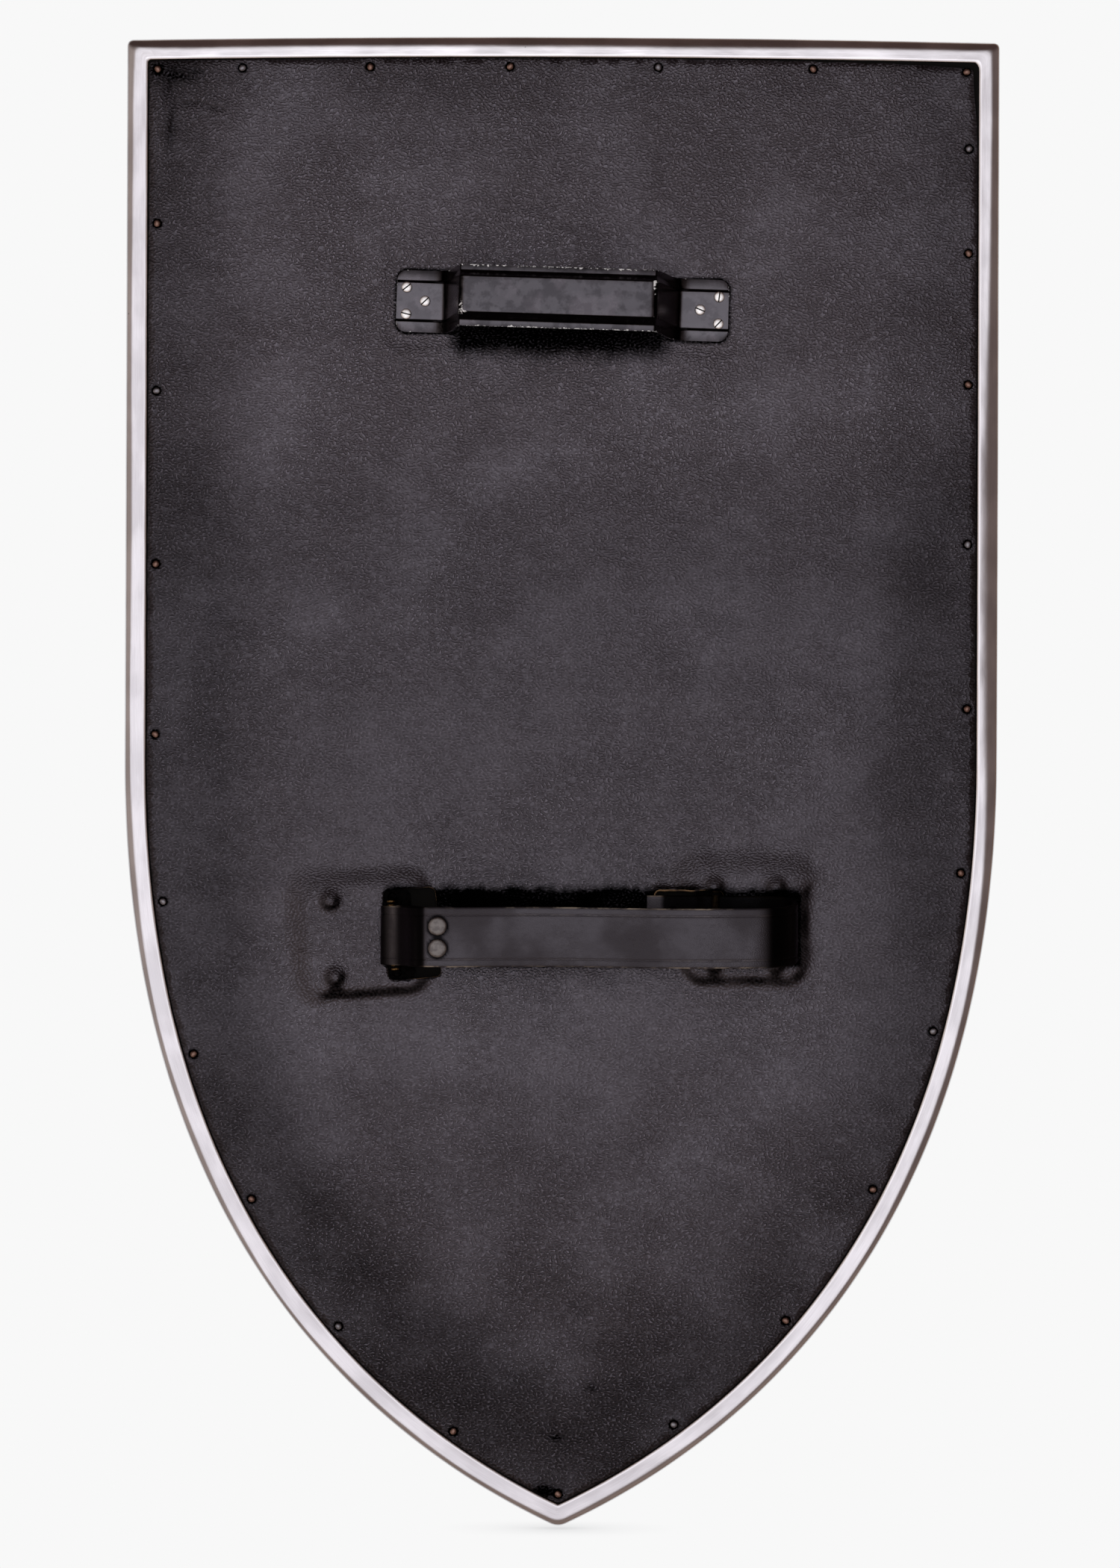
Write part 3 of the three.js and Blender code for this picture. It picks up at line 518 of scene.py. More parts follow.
def grip_paint():
    """Black stove enamel on pressed steel: glossy with a faint orange peel, and chipped to bright metal on
    its bends and edges. Its legs and lips are painted black as shade, and its bar is painted a little
    darker."""
    material, add = new_material("chipped_black_enamel")
    place = add("TexCoord", (), "Object")
    wear = add("Attribute", (), "Fac", attribute_name="edge_wear")
    painted_shade_share = add("Attribute", (), "Fac", attribute_name="painted_shade")
    flakes = add("TexNoise", clouds_of(place, 2.0, 5, 0.66))
    peel = add("TexNoise", clouds_of(place, 1.6, 2))
    dust = add("TexNoise", clouds_of(place, 14, 4))
    scuff = add("TexNoise", clouds_of(place, 10, 6, 0.7))
    scuff = add("MapRange", (scuff, 0.46, 0.56), **smooth)
    chipped = add("Math", (wear, 0.5, flakes), **times_plus)
    chipped = add("MapRange", (chipped, 0.86, 0.89), **smooth)
    dusty = add("MapRange", (dust, 0.5, 0.66), **smooth)
    base = add("Mix", {0: dusty, 6: colour("#0f0d10"), 7: colour("#454045")}, **mixed)
    # Painted shade turns the legs and lips black, and the bar a little darker
    base = add("Mix", {0: painted_shade_share, 6: base, 7: colour(unlit_black)}, **mixed)
    base = add("Mix", {0: chipped, 6: base, 7: colour("#e6e2de")}, **mixed)
    painted_shade_and_dullness = add("Math", (scuff, 0.26, -0.08), **times_plus)
    painted_shade_and_dullness = add("Math", (painted_shade_and_dullness, painted_shade_share), operation="ADD")
    painted_shade_and_dullness = add("Math", (painted_shade_and_dullness, chipped), operation="SUBTRACT", use_clamp=True)
    rough = add("Math", (dust, 0.24, 0.12), **times_plus)
    rough = add("Math", (chipped, 0.12, rough), **times_plus)
    height = add("Math", (peel, 0.25), **times)
    height = add("Math", (height, chipped), operation="SUBTRACT")
    bump = add("Bump", {"Height": height, "Strength": 1.0, "Distance": 0.08 * MM})
    looks = coated(base, painted_shade_and_dullness, rough, bump, ior=1.55, level=1.0, tint=(1.0, 0.95, 1.05, 1.0))
    surface = add("BsdfPrincipled", looks)
    add("OutputMaterial", (surface,))
    return material


def plated(name, light, dark, rough, grain, dent):
    """Plated or bare small metal, handled and a little stained."""
    material, add = new_material(name)
    place = add("TexCoord", (), "Object")
    stain = add("TexNoise", clouds_of(place, grain, 4))
    fine = add("TexNoise", clouds_of(place, 0.25 * grain, 3))
    clean = add("MapRange", (stain, 0.36, 0.6), **smooth)
    base = add("Mix", {0: clean, 6: colour(dark), 7: colour(light)}, **mixed)
    rough = add("Math", (stain, 0.2, rough - 0.1), **times_plus)
    bump = add("Bump", {"Height": fine, "Strength": 1.0, "Distance": dent * MM})
    surface = add("BsdfPrincipled", bare_metal(base, rough, bump))
    add("OutputMaterial", (surface,))
    return material


def birch_plywood():
    """Birch plywood: thin layers on its edge, and its back painted black, as the shade seen through the
    lining's openings.
    """
    material, add = new_material("birch_plywood")
    place = add("TexCoord", (), "Object")
    drawn = add("VectorMath", (place, (per_metre(1.2), per_metre(1.2), per_metre(30))), **times)
    grain = add("TexNoise", {"Vector": drawn, "Scale": 1.0, "Detail": 4})
    level = add("SeparateXYZ", (place,), "Y")
    layers = add("Math", (level, math.pi * per_metre(1.5)), **times)
    layers = add("Math", (layers,), operation="SINE")
    layers = add("MapRange", (layers, -0.2, 0.2), **smooth)
    # The back is painted black, as the shade seen through the lining's openings
    back = add("MapRange", (level, (board_back + 0.4) * MM, (board_back + 0.2) * MM), **smooth)
    base = add("Mix", {0: grain, 6: colour("#c29a68"), 7: colour("#d9b98c")}, **mixed)
    base = add("Mix", {0: layers, 6: base, 7: colour("#a87d4f")}, **mixed)
    base = add("Mix", {0: back, 6: base, 7: colour("#0a0908")}, **mixed)
    bump = add("Bump", {"Height": grain, "Strength": 0.6, "Distance": 0.1 * MM})
    dry = {"Base Color": base, "Roughness": 0.8, "Specular IOR Level": 0.15, "Normal": bump}
    surface = add("BsdfPrincipled", dry)
    add("OutputMaterial", (surface,))
    return material


# Rim: one rolled channel all round, swept along the outline
rim_width = 11.0
rim_nose = 5.0
rim_step = 4.0
mitre_fade = 26.0
corner_reach = 4.6
corner_steps = 8
outer_rounds = [(3.4, 3.4), (4.4, 4.4), (3.6, 3.6)]
inner_rounds = [(2.6, 4.4), (0.7, 0.7), (1.6, 1.6)]
round_change_shares = (0.25, 0.95)  # of the rim's width: between these the rounds turn into the inner ones
edge_round = 0.3
cut_band = 0.8
nose_distances = [rim_width - edge_round, 9.4, 8.2, 7.2, 6.3, 5.5, 4.8, 4.1, 3.4, 2.8, 2.2, 1.7, 1.25]
nose_distances += [0.85, 0.52, 0.26, 0.09]
inner_distances = [rim_width, 8.0, 5.0, 3.4, 2.2, 1.5]
# Behind, the flat flange begins this far from the outer edge, and further or nearer by the way it faces.
# On the right it begins furthest in, beside the middle of the board's upper half
flange_start, least_flange = 5.2, 2.0
flange_right, flange_left, flange_top, flange_down = -0.5, -1.5, 1.3, -1.8
belly_more, belly_z, belly_reach = 6.2, 110, 130
flange_ripple, flange_ripple_size = 0.5, 60
nose_change = 22.0
# Hand work leaves the rolled nose a little uneven between these distances, always inside its true size
hammering, hammer_size, hammered = 0.16, 17, (4, 7)
# Painted shade on the rim by the way it faces: left, right and down
facing_shade_left, facing_shade_right, facing_shade_down = 0.36, 0.3, 0.45


def edge_lines():
    across = np.linspace(-1, 1, 200)
    top = np.column_stack([across * half_width, corner_z + top_rise * (1 - across**2)])
    side = bezier(side_handles, np.linspace(0, 1, 400))
    right = np.vstack([[half_width, corner_z], side])
    left = (right * (-1, 1))[::-1]
    return [evenly(line, rim_step) for line in (top, right, left)]


def inward_of(way):
    return np.column_stack([way[:, 1], -way[:, 0]])


def mitre(before, after):
    a, b = inward_of(edge_ways[before][-1:])[0], inward_of(edge_ways[after][:1])[0]
    return (a + b) / (1 + a @ b)


edges = edge_lines()
edge_ways = [way_of(line) for line in edges]
mitres = [mitre(0, 1), mitre(1, 2), mitre(2, 0)]


def inset_ring(distance, rounds):
    """The outline moved in by a distance, clockwise from the back, starting at the top left. Rounds
    holds, for each corner, how far its rounding reaches along the edge before it and after it."""
    parts = []
    for i, (line, way) in enumerate(zip(edges, edge_ways)):
        run = run_of(line)
        from_end = run[-1] - run
        slide = (mitres[i - 1] @ way[0]) * np.clip(1 - run / mitre_fade, 0, 1)
        slide = slide + (mitres[i] @ way[-1]) * np.clip(1 - from_end / mitre_fade, 0, 1)
        points = line + distance * (inward_of(way) + slide[:, None] * way)
        parts.append(points[(run > corner_reach) & (from_end > corner_reach)])
        corner = line[-1] + distance * mitres[i]
        before, after = rounds[i]
        u = np.linspace(0, 1, corner_steps + 1)[:, None]
        next_way = edge_ways[(i + 1) % 3][0]
        parts.append(corner - (1 - u) ** 2 * before * way[-1] + u**2 * after * next_way)
    return np.vstack(parts)


def rounds_at(distance):
    low, high = round_change_shares
    share = smoothstep(low * rim_width, high * rim_width, distance)
    return [
        tuple(np.array(outer) * (1 - share) + np.array(inner) * share)
        for outer, inner in zip(outer_rounds, inner_rounds)
    ]


def eased(values, loop, reach):
    """The values along a closed loop, each averaged with those within about the reach."""
    run = run_of(loop)
    whole = run[-1] + np.linalg.norm(loop[0] - loop[-1])
    apart = np.abs(run[:, None] - run)
    apart = np.minimum(apart, whole - apart)
    share = np.exp(-((apart / reach) ** 2)) * np.gradient(run)
    return share @ values / share.sum(axis=1)


def ways_round(loop):
    """The way ahead at each point of a closed loop."""
    ahead = np.roll(loop, -1, axis=0) - np.roll(loop, 1, axis=0)
    return ahead / np.linalg.norm(ahead, axis=1)[:, None]


def nose(distance, flat_from):
    """How far the rounded nose has risen to the flange's level, from 0 to 1."""
    share = np.clip(distance / flat_from, 0, 1)
    return np.sqrt(1 - (1 - share) ** 2)


def rim_stations(flat_from):
    """The stations round the rolled sheet: distance from the outer edge, level and share of cut edge.
    They go over the nose from back to front, and back inside the channel."""
    middle = rim_back / 2
    stations = [(rim_width, rim_back + edge_round, 1.0)]
    for distance in nose_distances:
        cut = float(distance > rim_width - cut_band)
        stations.append((distance, middle + middle * nose(distance, flat_from), cut))
    stations.append((0, middle, 0))
    stations += [(d, middle - middle * nose(d, rim_nose), 0) for d in reversed(nose_distances)]
    stations.append((rim_width, -edge_round, 0))
    for side, distances in ((1, inner_distances), (-1, reversed(inner_distances))):
        for distance in distances:
            rise = (-middle - rim_wall) * nose(max(distance - rim_wall, 0), rim_nose - rim_wall)
            stations.append((distance, middle + side * rise, 0))
        if side == 1:
            stations.append((rim_wall, middle, 0))
    return stations


def make_rim():
    base = inset_ring(0, rounds_at(0))
    out_x, out_z = -inward_of(ways_round(base)).T
    to_right, to_left, to_top, to_down = (np.clip(v, 0, 1) for v in (out_x, -out_x, out_z, -out_z))
    belly = np.exp(-(((base[:, 1] - belly_z) / belly_reach) ** 2))
    flat_from = flange_start + (belly_more * belly + flange_right) * to_right**3
    flat_from += flange_left * to_left**2 + flange_top * to_top**2 + flange_down * to_down
    flat_from += flange_ripple * ripple(*base.T, flange_ripple_size, seed=2)
    flat_from = eased(np.clip(flat_from, least_flange, rim_width - 2 * edge_round), base, nose_change)
    stations = rim_stations(flat_from)
    rings, count = len(base), len(stations)
    section = []
    for distance, level, _ in stations:
        x, z = inset_ring(distance, rounds_at(distance)).T
        section.append(np.column_stack([x, np.broadcast_to(level, rings), z]))
    points = np.stack(section, axis=1).reshape(-1, 3)
    across = np.tile([float(distance) for distance, _, _ in stations], rings)
    cut = np.tile([share for _, _, share in stations], rings)
    run = run_of(base)
    along = np.column_stack([np.repeat(run, count) * MM, across * MM, np.zeros(rings * count)])
    uneven = np.clip(0.5 + 0.5 * ripple(points[:, 0], points[:, 2], hammer_size, seed=5), 0, 1)
    share = smoothstep(0, hammered[0], across) * smoothstep(rim_width, hammered[1], across)
    points[:, 1] -= hammering * uneven * share * np.sign(points[:, 1] - rim_back / 2)
    faces = tube_faces(rings, count, closed_way=True)
    # Where the ring closes, its run goes on instead of starting again
    corners = np.array(faces).ravel()
    along = along[corners]
    closing = np.arange(len(corners)) >= (rings - 1) * count * 4
    along[closing & (corners < count), 0] += run[-1] * MM + rim_step * MM
    mesh = make_mesh("rim", points, faces, {"along_rim": along, "cut_edge": cut}, sharp_from=50)
    recalculate(mesh)
    # Painted shade by the way the rim faces
    tarnish = facing_shade_left * to_left**2 + facing_shade_right * to_right**2 + facing_shade_down * to_down**2
    add_values(mesh, "tarnish", np.repeat(eased(tarnish, base, nose_change), count))
    return add_piece("rim", mesh, [steel], ("rim_top", "rim_right", "rim_left"))


# Anchors of the strap, as in the frame: their turn and the opening in the lining over each. The lining
# stands in a tent over each plate. It reaches wider above them and on the left one's outer side, and
# curls up at the right one's opening
anchors = [
    {"side": "left", "turn": 4.0, "opening": ((11.05, -23.0), (38.0, 23.0))},
    {"side": "right", "turn": 180.0, "opening": ((11.05, -18.0), (46.4, 18.0))},
]
tent_shapes = {
    "left": {"outer_more": 5.5, "upper_more": 4.0, "curl": 0.0},
    "right": {"outer_more": 0.0, "upper_more": 8.0, "curl": 2.2},
}
tent_outer_from, tent_upper_from, curl_from, curl_to = (-20, -30), (17, 26), (46, 50), (76, 68)
tent_height, tent_reach, tent_corner, tent_sag, tent_sag_size, tent_taut = 3.1, 9.5, 6, 0.5, 9, 0.75
lip_height, lip_reach, curl_reach = 0.35, 2.2, 1.7
plate_half = (25.0, 22.9)
anchor_screws = (15.75, 19.4)
screw_bump, screw_bump_reach, screw_bump_power = 2.3, 4.4, 2.4
opening_corner = 3.0
for anchor in anchors:
    screws = [centre_of(f"anchor_{anchor['side']}_screw_{i}") for i in range(1, 5)]
    anchor["middle"] = np.mean(screws, axis=0)[[0, 2]]


def in_frame(x, z, middle, turn):
    """Places seen from a middle, along and across a way that is turned by so many degrees."""
    angle = math.radians(turn)
    dx, dz = x - middle[0], z - middle[1]
    return dx * math.cos(angle) + dz * math.sin(angle), dz * math.cos(angle) - dx * math.sin(angle)


def spot(x, z, middle, half_sizes):
    """A soft spot: 1 in its middle, fading to 0 over about its half sizes."""
    return np.exp(-(((x - middle[0]) / half_sizes[0]) ** 2) - ((z - middle[1]) / half_sizes[1]) ** 2)


# Lining: slack on the board, tacked round its edge and pressed flat under the grip's tabs
lining_gap = 0.8
lining_rounds = [(4.0, 5.0), (1.5, 1.5), (2.2, 2.2)]
lining_step, fine_step, edge_step, opening_step = 2.9, 1.5, 2.4, 1.3
edge_clearance, fine_edge_clearance, opening_clearance = 0.5 * lining_step, 0.8, 0.7
tack_clearance, fine_tack_clearance = 5.6, 5.3
# Rings of points round each tack: radius, count
tack_rings = ((0.9, 6), (1.6, 12), (2.2, 14), (2.9, 16), (3.7, 18), (4.7, 20))
tack_names = sorted(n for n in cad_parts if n.startswith("lining_tack"))
tack_places = np.array([centre_of(n)[[0, 2]] for n in tack_names])
tab_boxes = [((-86.5, 224.0), (-57.5, 263.0)), ((56.5, 221.0), (86.5, 260.0))]
tab_box_corner = 4
fine_zones = [
    ((-134, -118), (-58, -38)), ((40, -112), (128, -36)), ((-211, 322), (-150, 369)),
    ((-91, 219), (-52, 268)), ((52, 216), (91, 265)), ((-58, -72), (40, -44)), ((-52, 206), (52, 234)),
]
# The edge stays back from the rim along the top towards the right, most in the corner. Both cuts are
# a little uneven, as a knife leaves them
top_cut, top_cut_x, top_cut_z = 0.75, (60, 190), (330, 366)
corner_cut, cut_corner, corner_cut_reach = 1.5, (211, 366), (26, 26)
edge_knife, edge_knife_size, opening_knife, opening_knife_size = 0.18, 6, 0.16, 4
# Slack above the board: mean, limits, and ripples by height, size and seed
slack, slack_limits = 0.52, (0.02, 1.1)
slack_ripples = ((0.17, 42, 3), (0.09, 13, 4), (0.05, 6, 8))
# It is flat within the first of these distances, and slack from the second on
edge_flat, tab_flat, tack_flat, tack_pull, tack_pull_share = (-0.5, 3.2), (0.5, 7), (1.6, 2.9), (2, 16), 0.2
# Creases near the top left corner: x, z, turn in degrees, length. Each is a fold beside a ridge
corner_creases = [
    (-192, 358, -8, 14), (-190, 345, 8, 12), (-178, 343, -14, 12),
    (-201, 352, 72, 14), (-199, 334, 84, 26), (-186, 361, -5, 9),
]
fold_depth, fold_half, ridge_height, ridge_half, ridge_shift = 0.5, 1.4, 0.35, 1.7, 2.8
# Dents in the lower part: x, z, radius, depth
lining_dents = [(16.7, -305, 8, 0.35), (-0.4, -331.5, 6, 0.42), (11, -267, 9, 0.3), (-6, -361, 9, 0.5)]
# Painted shade spots in the top left corner, at the dents and at the point: x, z, half sizes, share
shade_spots = [
    (-200.5, 333, 3.2, 14, 0.12), (-203, 361, 13, 7, 0.34), (-7.5, -361, 6, 3, 0.7),
    (16.9, -308, 3, 1.6, 0.4), (-1.3, -334, 3, 1.6, 0.4), (12, -270, 3, 1.6, 0.4),
]
ragged_ripples = ((0.7, 3.5, 41), (0.6, 11, 43))
# Painted shade in the creases, round the tacks, close above the strap, below the grip and round its tabs
crease_shade, crease_shade_half = 0.20, 2.2
tack_shade, tack_shade_reach = 0.9, (3.1, 2.3)
strap_shade, strap_shade_above, strap_shade_below = 0.97, (12.5, 5.0), (-32, -29.5)
strap_shade_left, strap_shade_right = (-91, -87), (126, 120)
grip_shade, grip_shade_below, grip_shade_above, grip_shade_left, grip_shade_right = (
    0.88, (-32, -19), (12, 8), (-61, -51), (58, 49)
)
tab_shade_reach, tab_shade_from = (1.5, 0.5), 54
# It is painted a little darker along its edge, less so at the top, and in bands: share, and where it begins
# and is full in z
edge_dark_reach, left_edge_dark, left_edge_lower, left_edge_fade = (75, 8), 0.34, 0.10, (150, -80)
right_edge_dark, top_edge_lighter, top_edge_z, top_edge_x = 0.20, 0.6, (230, 320), (195, 150)
middle_dark, middle_above, middle_below = 0.28, (200, 110), (-130, -20)
dark_levels = [(0.2, -20, -130), (0.16, -230, -330), (0.05, 340, 362)]
right_side_dark, right_side, most_aside, most_shade = 0.10, (120, 200), 0.52, 0.97
# A slope gets painted shade by the way it faces, from the first of these tilts to the second
slope_shade, slope_down, slope_right, slope_left, slope_most = 0.04, 0.8, 0.8, 0.45, 0.95
slope_tilts, slope_ripple = (0.004, 0.085), 0.006


def lining_outline():
    plain = inset_ring(rim_width + lining_gap, lining_rounds)
    x, z = plain.T
    back = top_cut * smoothstep(*top_cut_x, x) * smoothstep(*top_cut_z, z)
    back += corner_cut * spot(x, z, cut_corner, corner_cut_reach)
    back += edge_knife * ripple(x, z, edge_knife_size, seed=11)
    closed = plain + inward_of(ways_round(plain)) * back[:, None]
    return evenly(np.vstack([closed, closed[:1]]), edge_step)[:-1]


def opening_outline(anchor):
    low, high = anchor["opening"]
    angles = np.linspace(0, math.pi / 2, 5)
    corners = [(high[0], low[1], -90), (high[0], high[1], 0), (low[0], high[1], 90), (low[0], low[1], 180)]
    loop = []
    for u, w, start in corners:
        mu = u - opening_corner * np.sign(u - (low[0] + high[0]) / 2)
        mw = w - opening_corner * np.sign(w - (low[1] + high[1]) / 2)
        for angle in angles + math.radians(start):
            loop.append((mu + opening_corner * math.cos(angle), mw + opening_corner * math.sin(angle)))
    loop = np.array(loop)
    loop = evenly(np.vstack([loop, loop[:1]]), opening_step)[:-1]
    shifts = [ripple(*loop.T, opening_knife_size, seed) for seed in (21, 22)]
    loop = loop + opening_knife * np.column_stack(shifts)
    x, z = in_frame(*loop.T, (0, 0), -anchor["turn"])
    return np.column_stack([x, z]) + anchor["middle"]


def inside(points, loop):
    """Which points lie inside a closed loop."""
    x, z = points[:, 0], points[:, 1]
    result = np.zeros(len(points), bool)
    for (x0, z0), (x1, z1) in zip(loop, np.roll(loop, -1, axis=0)):
        crosses = (z0 > z) != (z1 > z)
        if crosses.any():
            result ^= crosses & (x < (x1 - x0) * (z - z0) / ((z1 - z0) or 1e-9) + x0)
    return result


def lattice(low, high, step):
    """Points at the corners of even triangles."""
    rows = np.arange(low[1], high[1], step * math.sqrt(0.75))
    made = []
    for i, z in enumerate(rows):
        xs = np.arange(low[0] + (i % 2) * step / 2, high[0], step)
        made.append(np.column_stack([xs, np.full(len(xs), z)]))
    return np.vstack(made)


def in_boxes(points, boxes):
    hit = np.zeros(len(points), bool)
    for low, high in boxes:
        hit |= ((points > low) & (points < high)).all(axis=1)
    return hit


def distances_to(others, points):
    """How far each point is from the nearest of the others."""
    tree = kdtree.KDTree(len(others))
    for i, (x, z) in enumerate(others):
        tree.insert((x, z, 0), i)
    tree.balance()
    return np.array([tree.find((x, z, 0))[2] for x, z in points])


def lining_slack(x, z, from_edge):
    """How far the lining stands off the board: pressed flat at its edge, its tacks and the grip's tabs,
    dented in places, and creased near its top left corner."""
    rest = smoothstep(*edge_flat, from_edge)
    for low, high in tab_boxes:
        rest *= smoothstep(*tab_flat, rounded_rectangle_distance(x, z, low, high, tab_box_corner))
    for tx, tz in tack_places:
        away = np.hypot(x - tx, z - tz)
        near = smoothstep(*tack_flat, away) * (1 - tack_pull_share)
        rest *= near + smoothstep(*tack_pull, away) * tack_pull_share
    puff = slack + sum(height * ripple(x, z, size, seed) for height, size, seed in slack_ripples)
    for dx, dz, radius, depth in lining_dents:
        puff -= depth * spot(x, z, (dx, dz), (radius, radius))
    folded = np.zeros_like(x)
    for cx, cz, turn, length in corner_creases:
        u, w = in_frame(x, z, (cx, cz), turn)
        folded -= fold_depth * spot(u, w, (0, 0), (length / 2, fold_half))
        folded += ridge_height * spot(u, w, (0, ridge_shift), (length / 2, ridge_half))
    return np.clip(puff, *slack_limits), rest, folded


def lining_height(x, z, from_edge):
    """Height of the lining's top above the board. It stands in a tent over each anchor."""
    puff, rest, folded = lining_slack(x, z, from_edge)
    raised = np.zeros_like(x)
    for anchor in anchors:
        shape = tent_shapes[anchor["side"]]
        u, w = in_frame(x, z, anchor["middle"], anchor["turn"])
        half = np.array(plate_half) + 1
        distance = rounded_rectangle_distance(u, w, -half, half, tent_corner)
        reach = tent_reach + tent_sag * ripple(x, z, tent_sag_size, seed=14)
        reach += shape["outer_more"] * smoothstep(*tent_outer_from, u)
        reach += shape["upper_more"] * smoothstep(*tent_upper_from, z - anchor["middle"][1])
        tent = 1 - smoothstep(0.0, reach, distance)
        raised = np.maximum(raised, tent_height * tent)
        puff = puff * (1 - tent_taut * tent)
        low, high = anchor["opening"]
        from_opening = np.maximum(rounded_rectangle_distance(u, w, low, high, opening_corner), 0)
        raised += lip_height * np.exp(-from_opening / lip_reach) * (1 - tent)
        curl = np.exp(-from_opening / curl_reach) * (z > strap_z)
        raised += shape["curl"] * curl * smoothstep(*curl_from, x) * smoothstep(*curl_to, x)
        for su in (-1, 1):
            for sw in (-1, 1):
                bu, bw = su * anchor_screws[0], sw * anchor_screws[1]
                if low[0] - 1 < bu < high[0] and low[1] < bw < high[1]:
                    continue
                away = np.hypot(u - bu, w - bw)
                raised += screw_bump * np.exp(-((away / screw_bump_reach) ** screw_bump_power))
    return lining_thickness + np.maximum(puff * rest + folded, -0.1) + raised


def painted_shade(x, z, from_edge):
    """Painted shade that turns the leather black: close above the strap and below the grip, round the
    grip's tabs and the tacks, in creases and dents. It also darkens the leather a little along its edges,
    towards its right side and in bands by height."""
    ragged = sum(height * ripple(x, z, size, seed) for height, size, seed in ragged_ripples)
    above = z - (strap_z + strap_width / 2)
    by_strap = smoothstep(*strap_shade_above, above + ragged) * smoothstep(*strap_shade_below, above)
    by_strap *= smoothstep(*strap_shade_left, x) * smoothstep(*strap_shade_right, x)
    u, w = in_frame(x, z, (0, grip_z), -grip_turn)
    by_grip = smoothstep(*grip_shade_below, w + ragged) * smoothstep(*grip_shade_above, w)
    by_grip *= smoothstep(*grip_shade_left, u + ragged) * smoothstep(*grip_shade_right, u + ragged)
    half_tabs = np.array([grip_length / 2, tab_shape["width"] / 2])
    from_tabs = rounded_rectangle_distance(u, w, -half_tabs, half_tabs, tab_corner)
    from_tabs = np.maximum(from_tabs, tab_shade_from - np.abs(u))
    by_grip = np.maximum(by_grip, smoothstep(*tab_shade_reach, from_tabs))
    left_edge = left_edge_dark + left_edge_lower * smoothstep(*left_edge_fade, z)
    near_edge = smoothstep(*edge_dark_reach, from_edge) * np.where(x < 0, left_edge, right_edge_dark)
    near_edge *= 1 - top_edge_lighter * smoothstep(*top_edge_z, z) * smoothstep(*top_edge_x, np.abs(x))
    aside = near_edge + middle_dark * smoothstep(*middle_above, z) * smoothstep(*middle_below, z)
    aside += sum(share * smoothstep(start, end, z) for share, start, end in dark_levels)
    total = np.maximum(strap_shade * by_strap, grip_shade * by_grip)
    total += np.minimum(aside + right_side_dark * smoothstep(*right_side, x), most_aside)
    for dx, dz, half_x, half_z, share in shade_spots:
        total += share * spot(x, z, (dx, dz), (half_x, half_z))
    for cx, cz, turn, length in corner_creases:
        along, across = in_frame(x, z, (cx, cz), turn)
        total += crease_shade * spot(along, across, (0, 0), (length / 2, crease_shade_half))
    for tx, tz in tack_places:
        total += tack_shade * smoothstep(*tack_shade_reach, np.hypot(x - tx, z - tz))
    return np.clip(total, 0, most_shade)


def lining_triangles(outline, openings):
    """Points and triangles of the flat lining: finer near the grip, the anchors and the corner, with rings
    round the tacks."""
    coarse = lattice(outline.min(axis=0), outline.max(axis=0), lining_step)
    coarse = coarse[~in_boxes(coarse, fine_zones)]
    fine = np.vstack([lattice(low, high, fine_step) for low, high in fine_zones])
    rings = []
    for x, z in tack_places:
        for radius, count in tack_rings:
            angles = np.arange(count) * 2 * math.pi / count + radius
            rings.append(np.column_stack([x + radius * np.cos(angles), z + radius * np.sin(angles)]))
    coarse = coarse[inside(coarse, outline) & (distances_to(tack_places, coarse) > tack_clearance)]
    coarse = coarse[distances_to(outline, coarse) > edge_clearance]
    fine = fine[inside(fine, outline) & (distances_to(tack_places, fine) > fine_tack_clearance)]
    fine = fine[distances_to(outline, fine) > fine_edge_clearance]
    for loop in openings:
        fine = fine[~inside(fine, loop)]
        fine = fine[distances_to(loop, fine) > opening_clearance]
    flat = np.vstack([outline, *openings, coarse, fine, *rings])
    links = []
    start = 0
    for loop in (outline, *openings):
        count = len(loop)
        links += [(start + i, start + (i + 1) % count) for i in range(count)]
        start += count
    solved = geometry.delaunay_2d_cdt([Vector(p) for p in flat.tolist()], links, [], 1, 1e-5, False)
    flat = np.array([tuple(p) for p in solved[0]])
    triangles = np.array(solved[2])
    middles = flat[triangles].mean(axis=1)
    kept = inside(middles, outline)
    for loop in openings:
        kept &= ~inside(middles, loop)
    return flat, triangles[kept]


def make_lining():
    outline = lining_outline()
    flat, triangles = lining_triangles(outline, [opening_outline(anchor) for anchor in anchors])
    x, z = flat.T
    from_edge = distances_to(outline, flat)
    points = np.column_stack([x, board_back - lining_height(x, z, from_edge), z])
    a, b, c = (points[triangles[:, i]] for i in range(3))
    facing = np.cross(b - a, c - a)[:, 1]
    triangles[facing > 0] = triangles[facing > 0][:, ::-1]
    mesh = make_mesh("lining", points, triangles.tolist(), sharp_from=60)
    # Slopes get painted shade by the way they face, on top of the painted shade by place
    normals = normals_of(mesh)
    tilt = np.hypot(normals[:, 0], normals[:, 2]) + 1e-6
    down, right, left = (np.clip(v / tilt, 0, 1) for v in (-normals[:, 2], normals[:, 0], -normals[:, 0]))
    share = slope_shade + slope_down * down**2 + slope_right * right**2 + slope_left * left**2
    steep = 1 - np.abs(normals[:, 1]) + slope_ripple * ripple(x, z, 3, seed=42)
    sloping = np.clip(share, 0, slope_most) * smoothstep(*slope_tilts, steep)
    add_values(mesh, "painted_shade", np.maximum(sloping, painted_shade(x, z, from_edge)))
    for material in (lining_black, raw_edge):
        mesh.materials.append(material)
    piece = add_piece("lining", mesh, [], ("back_lining",))
    sheet = piece.modifiers.new("thickness", "SOLIDIFY")
    sheet.thickness = lining_thickness * MM
    sheet.offset = -1
    sheet.material_offset_rim = 1
    sheet.use_even_offset = False
    settle(piece)
    return piece


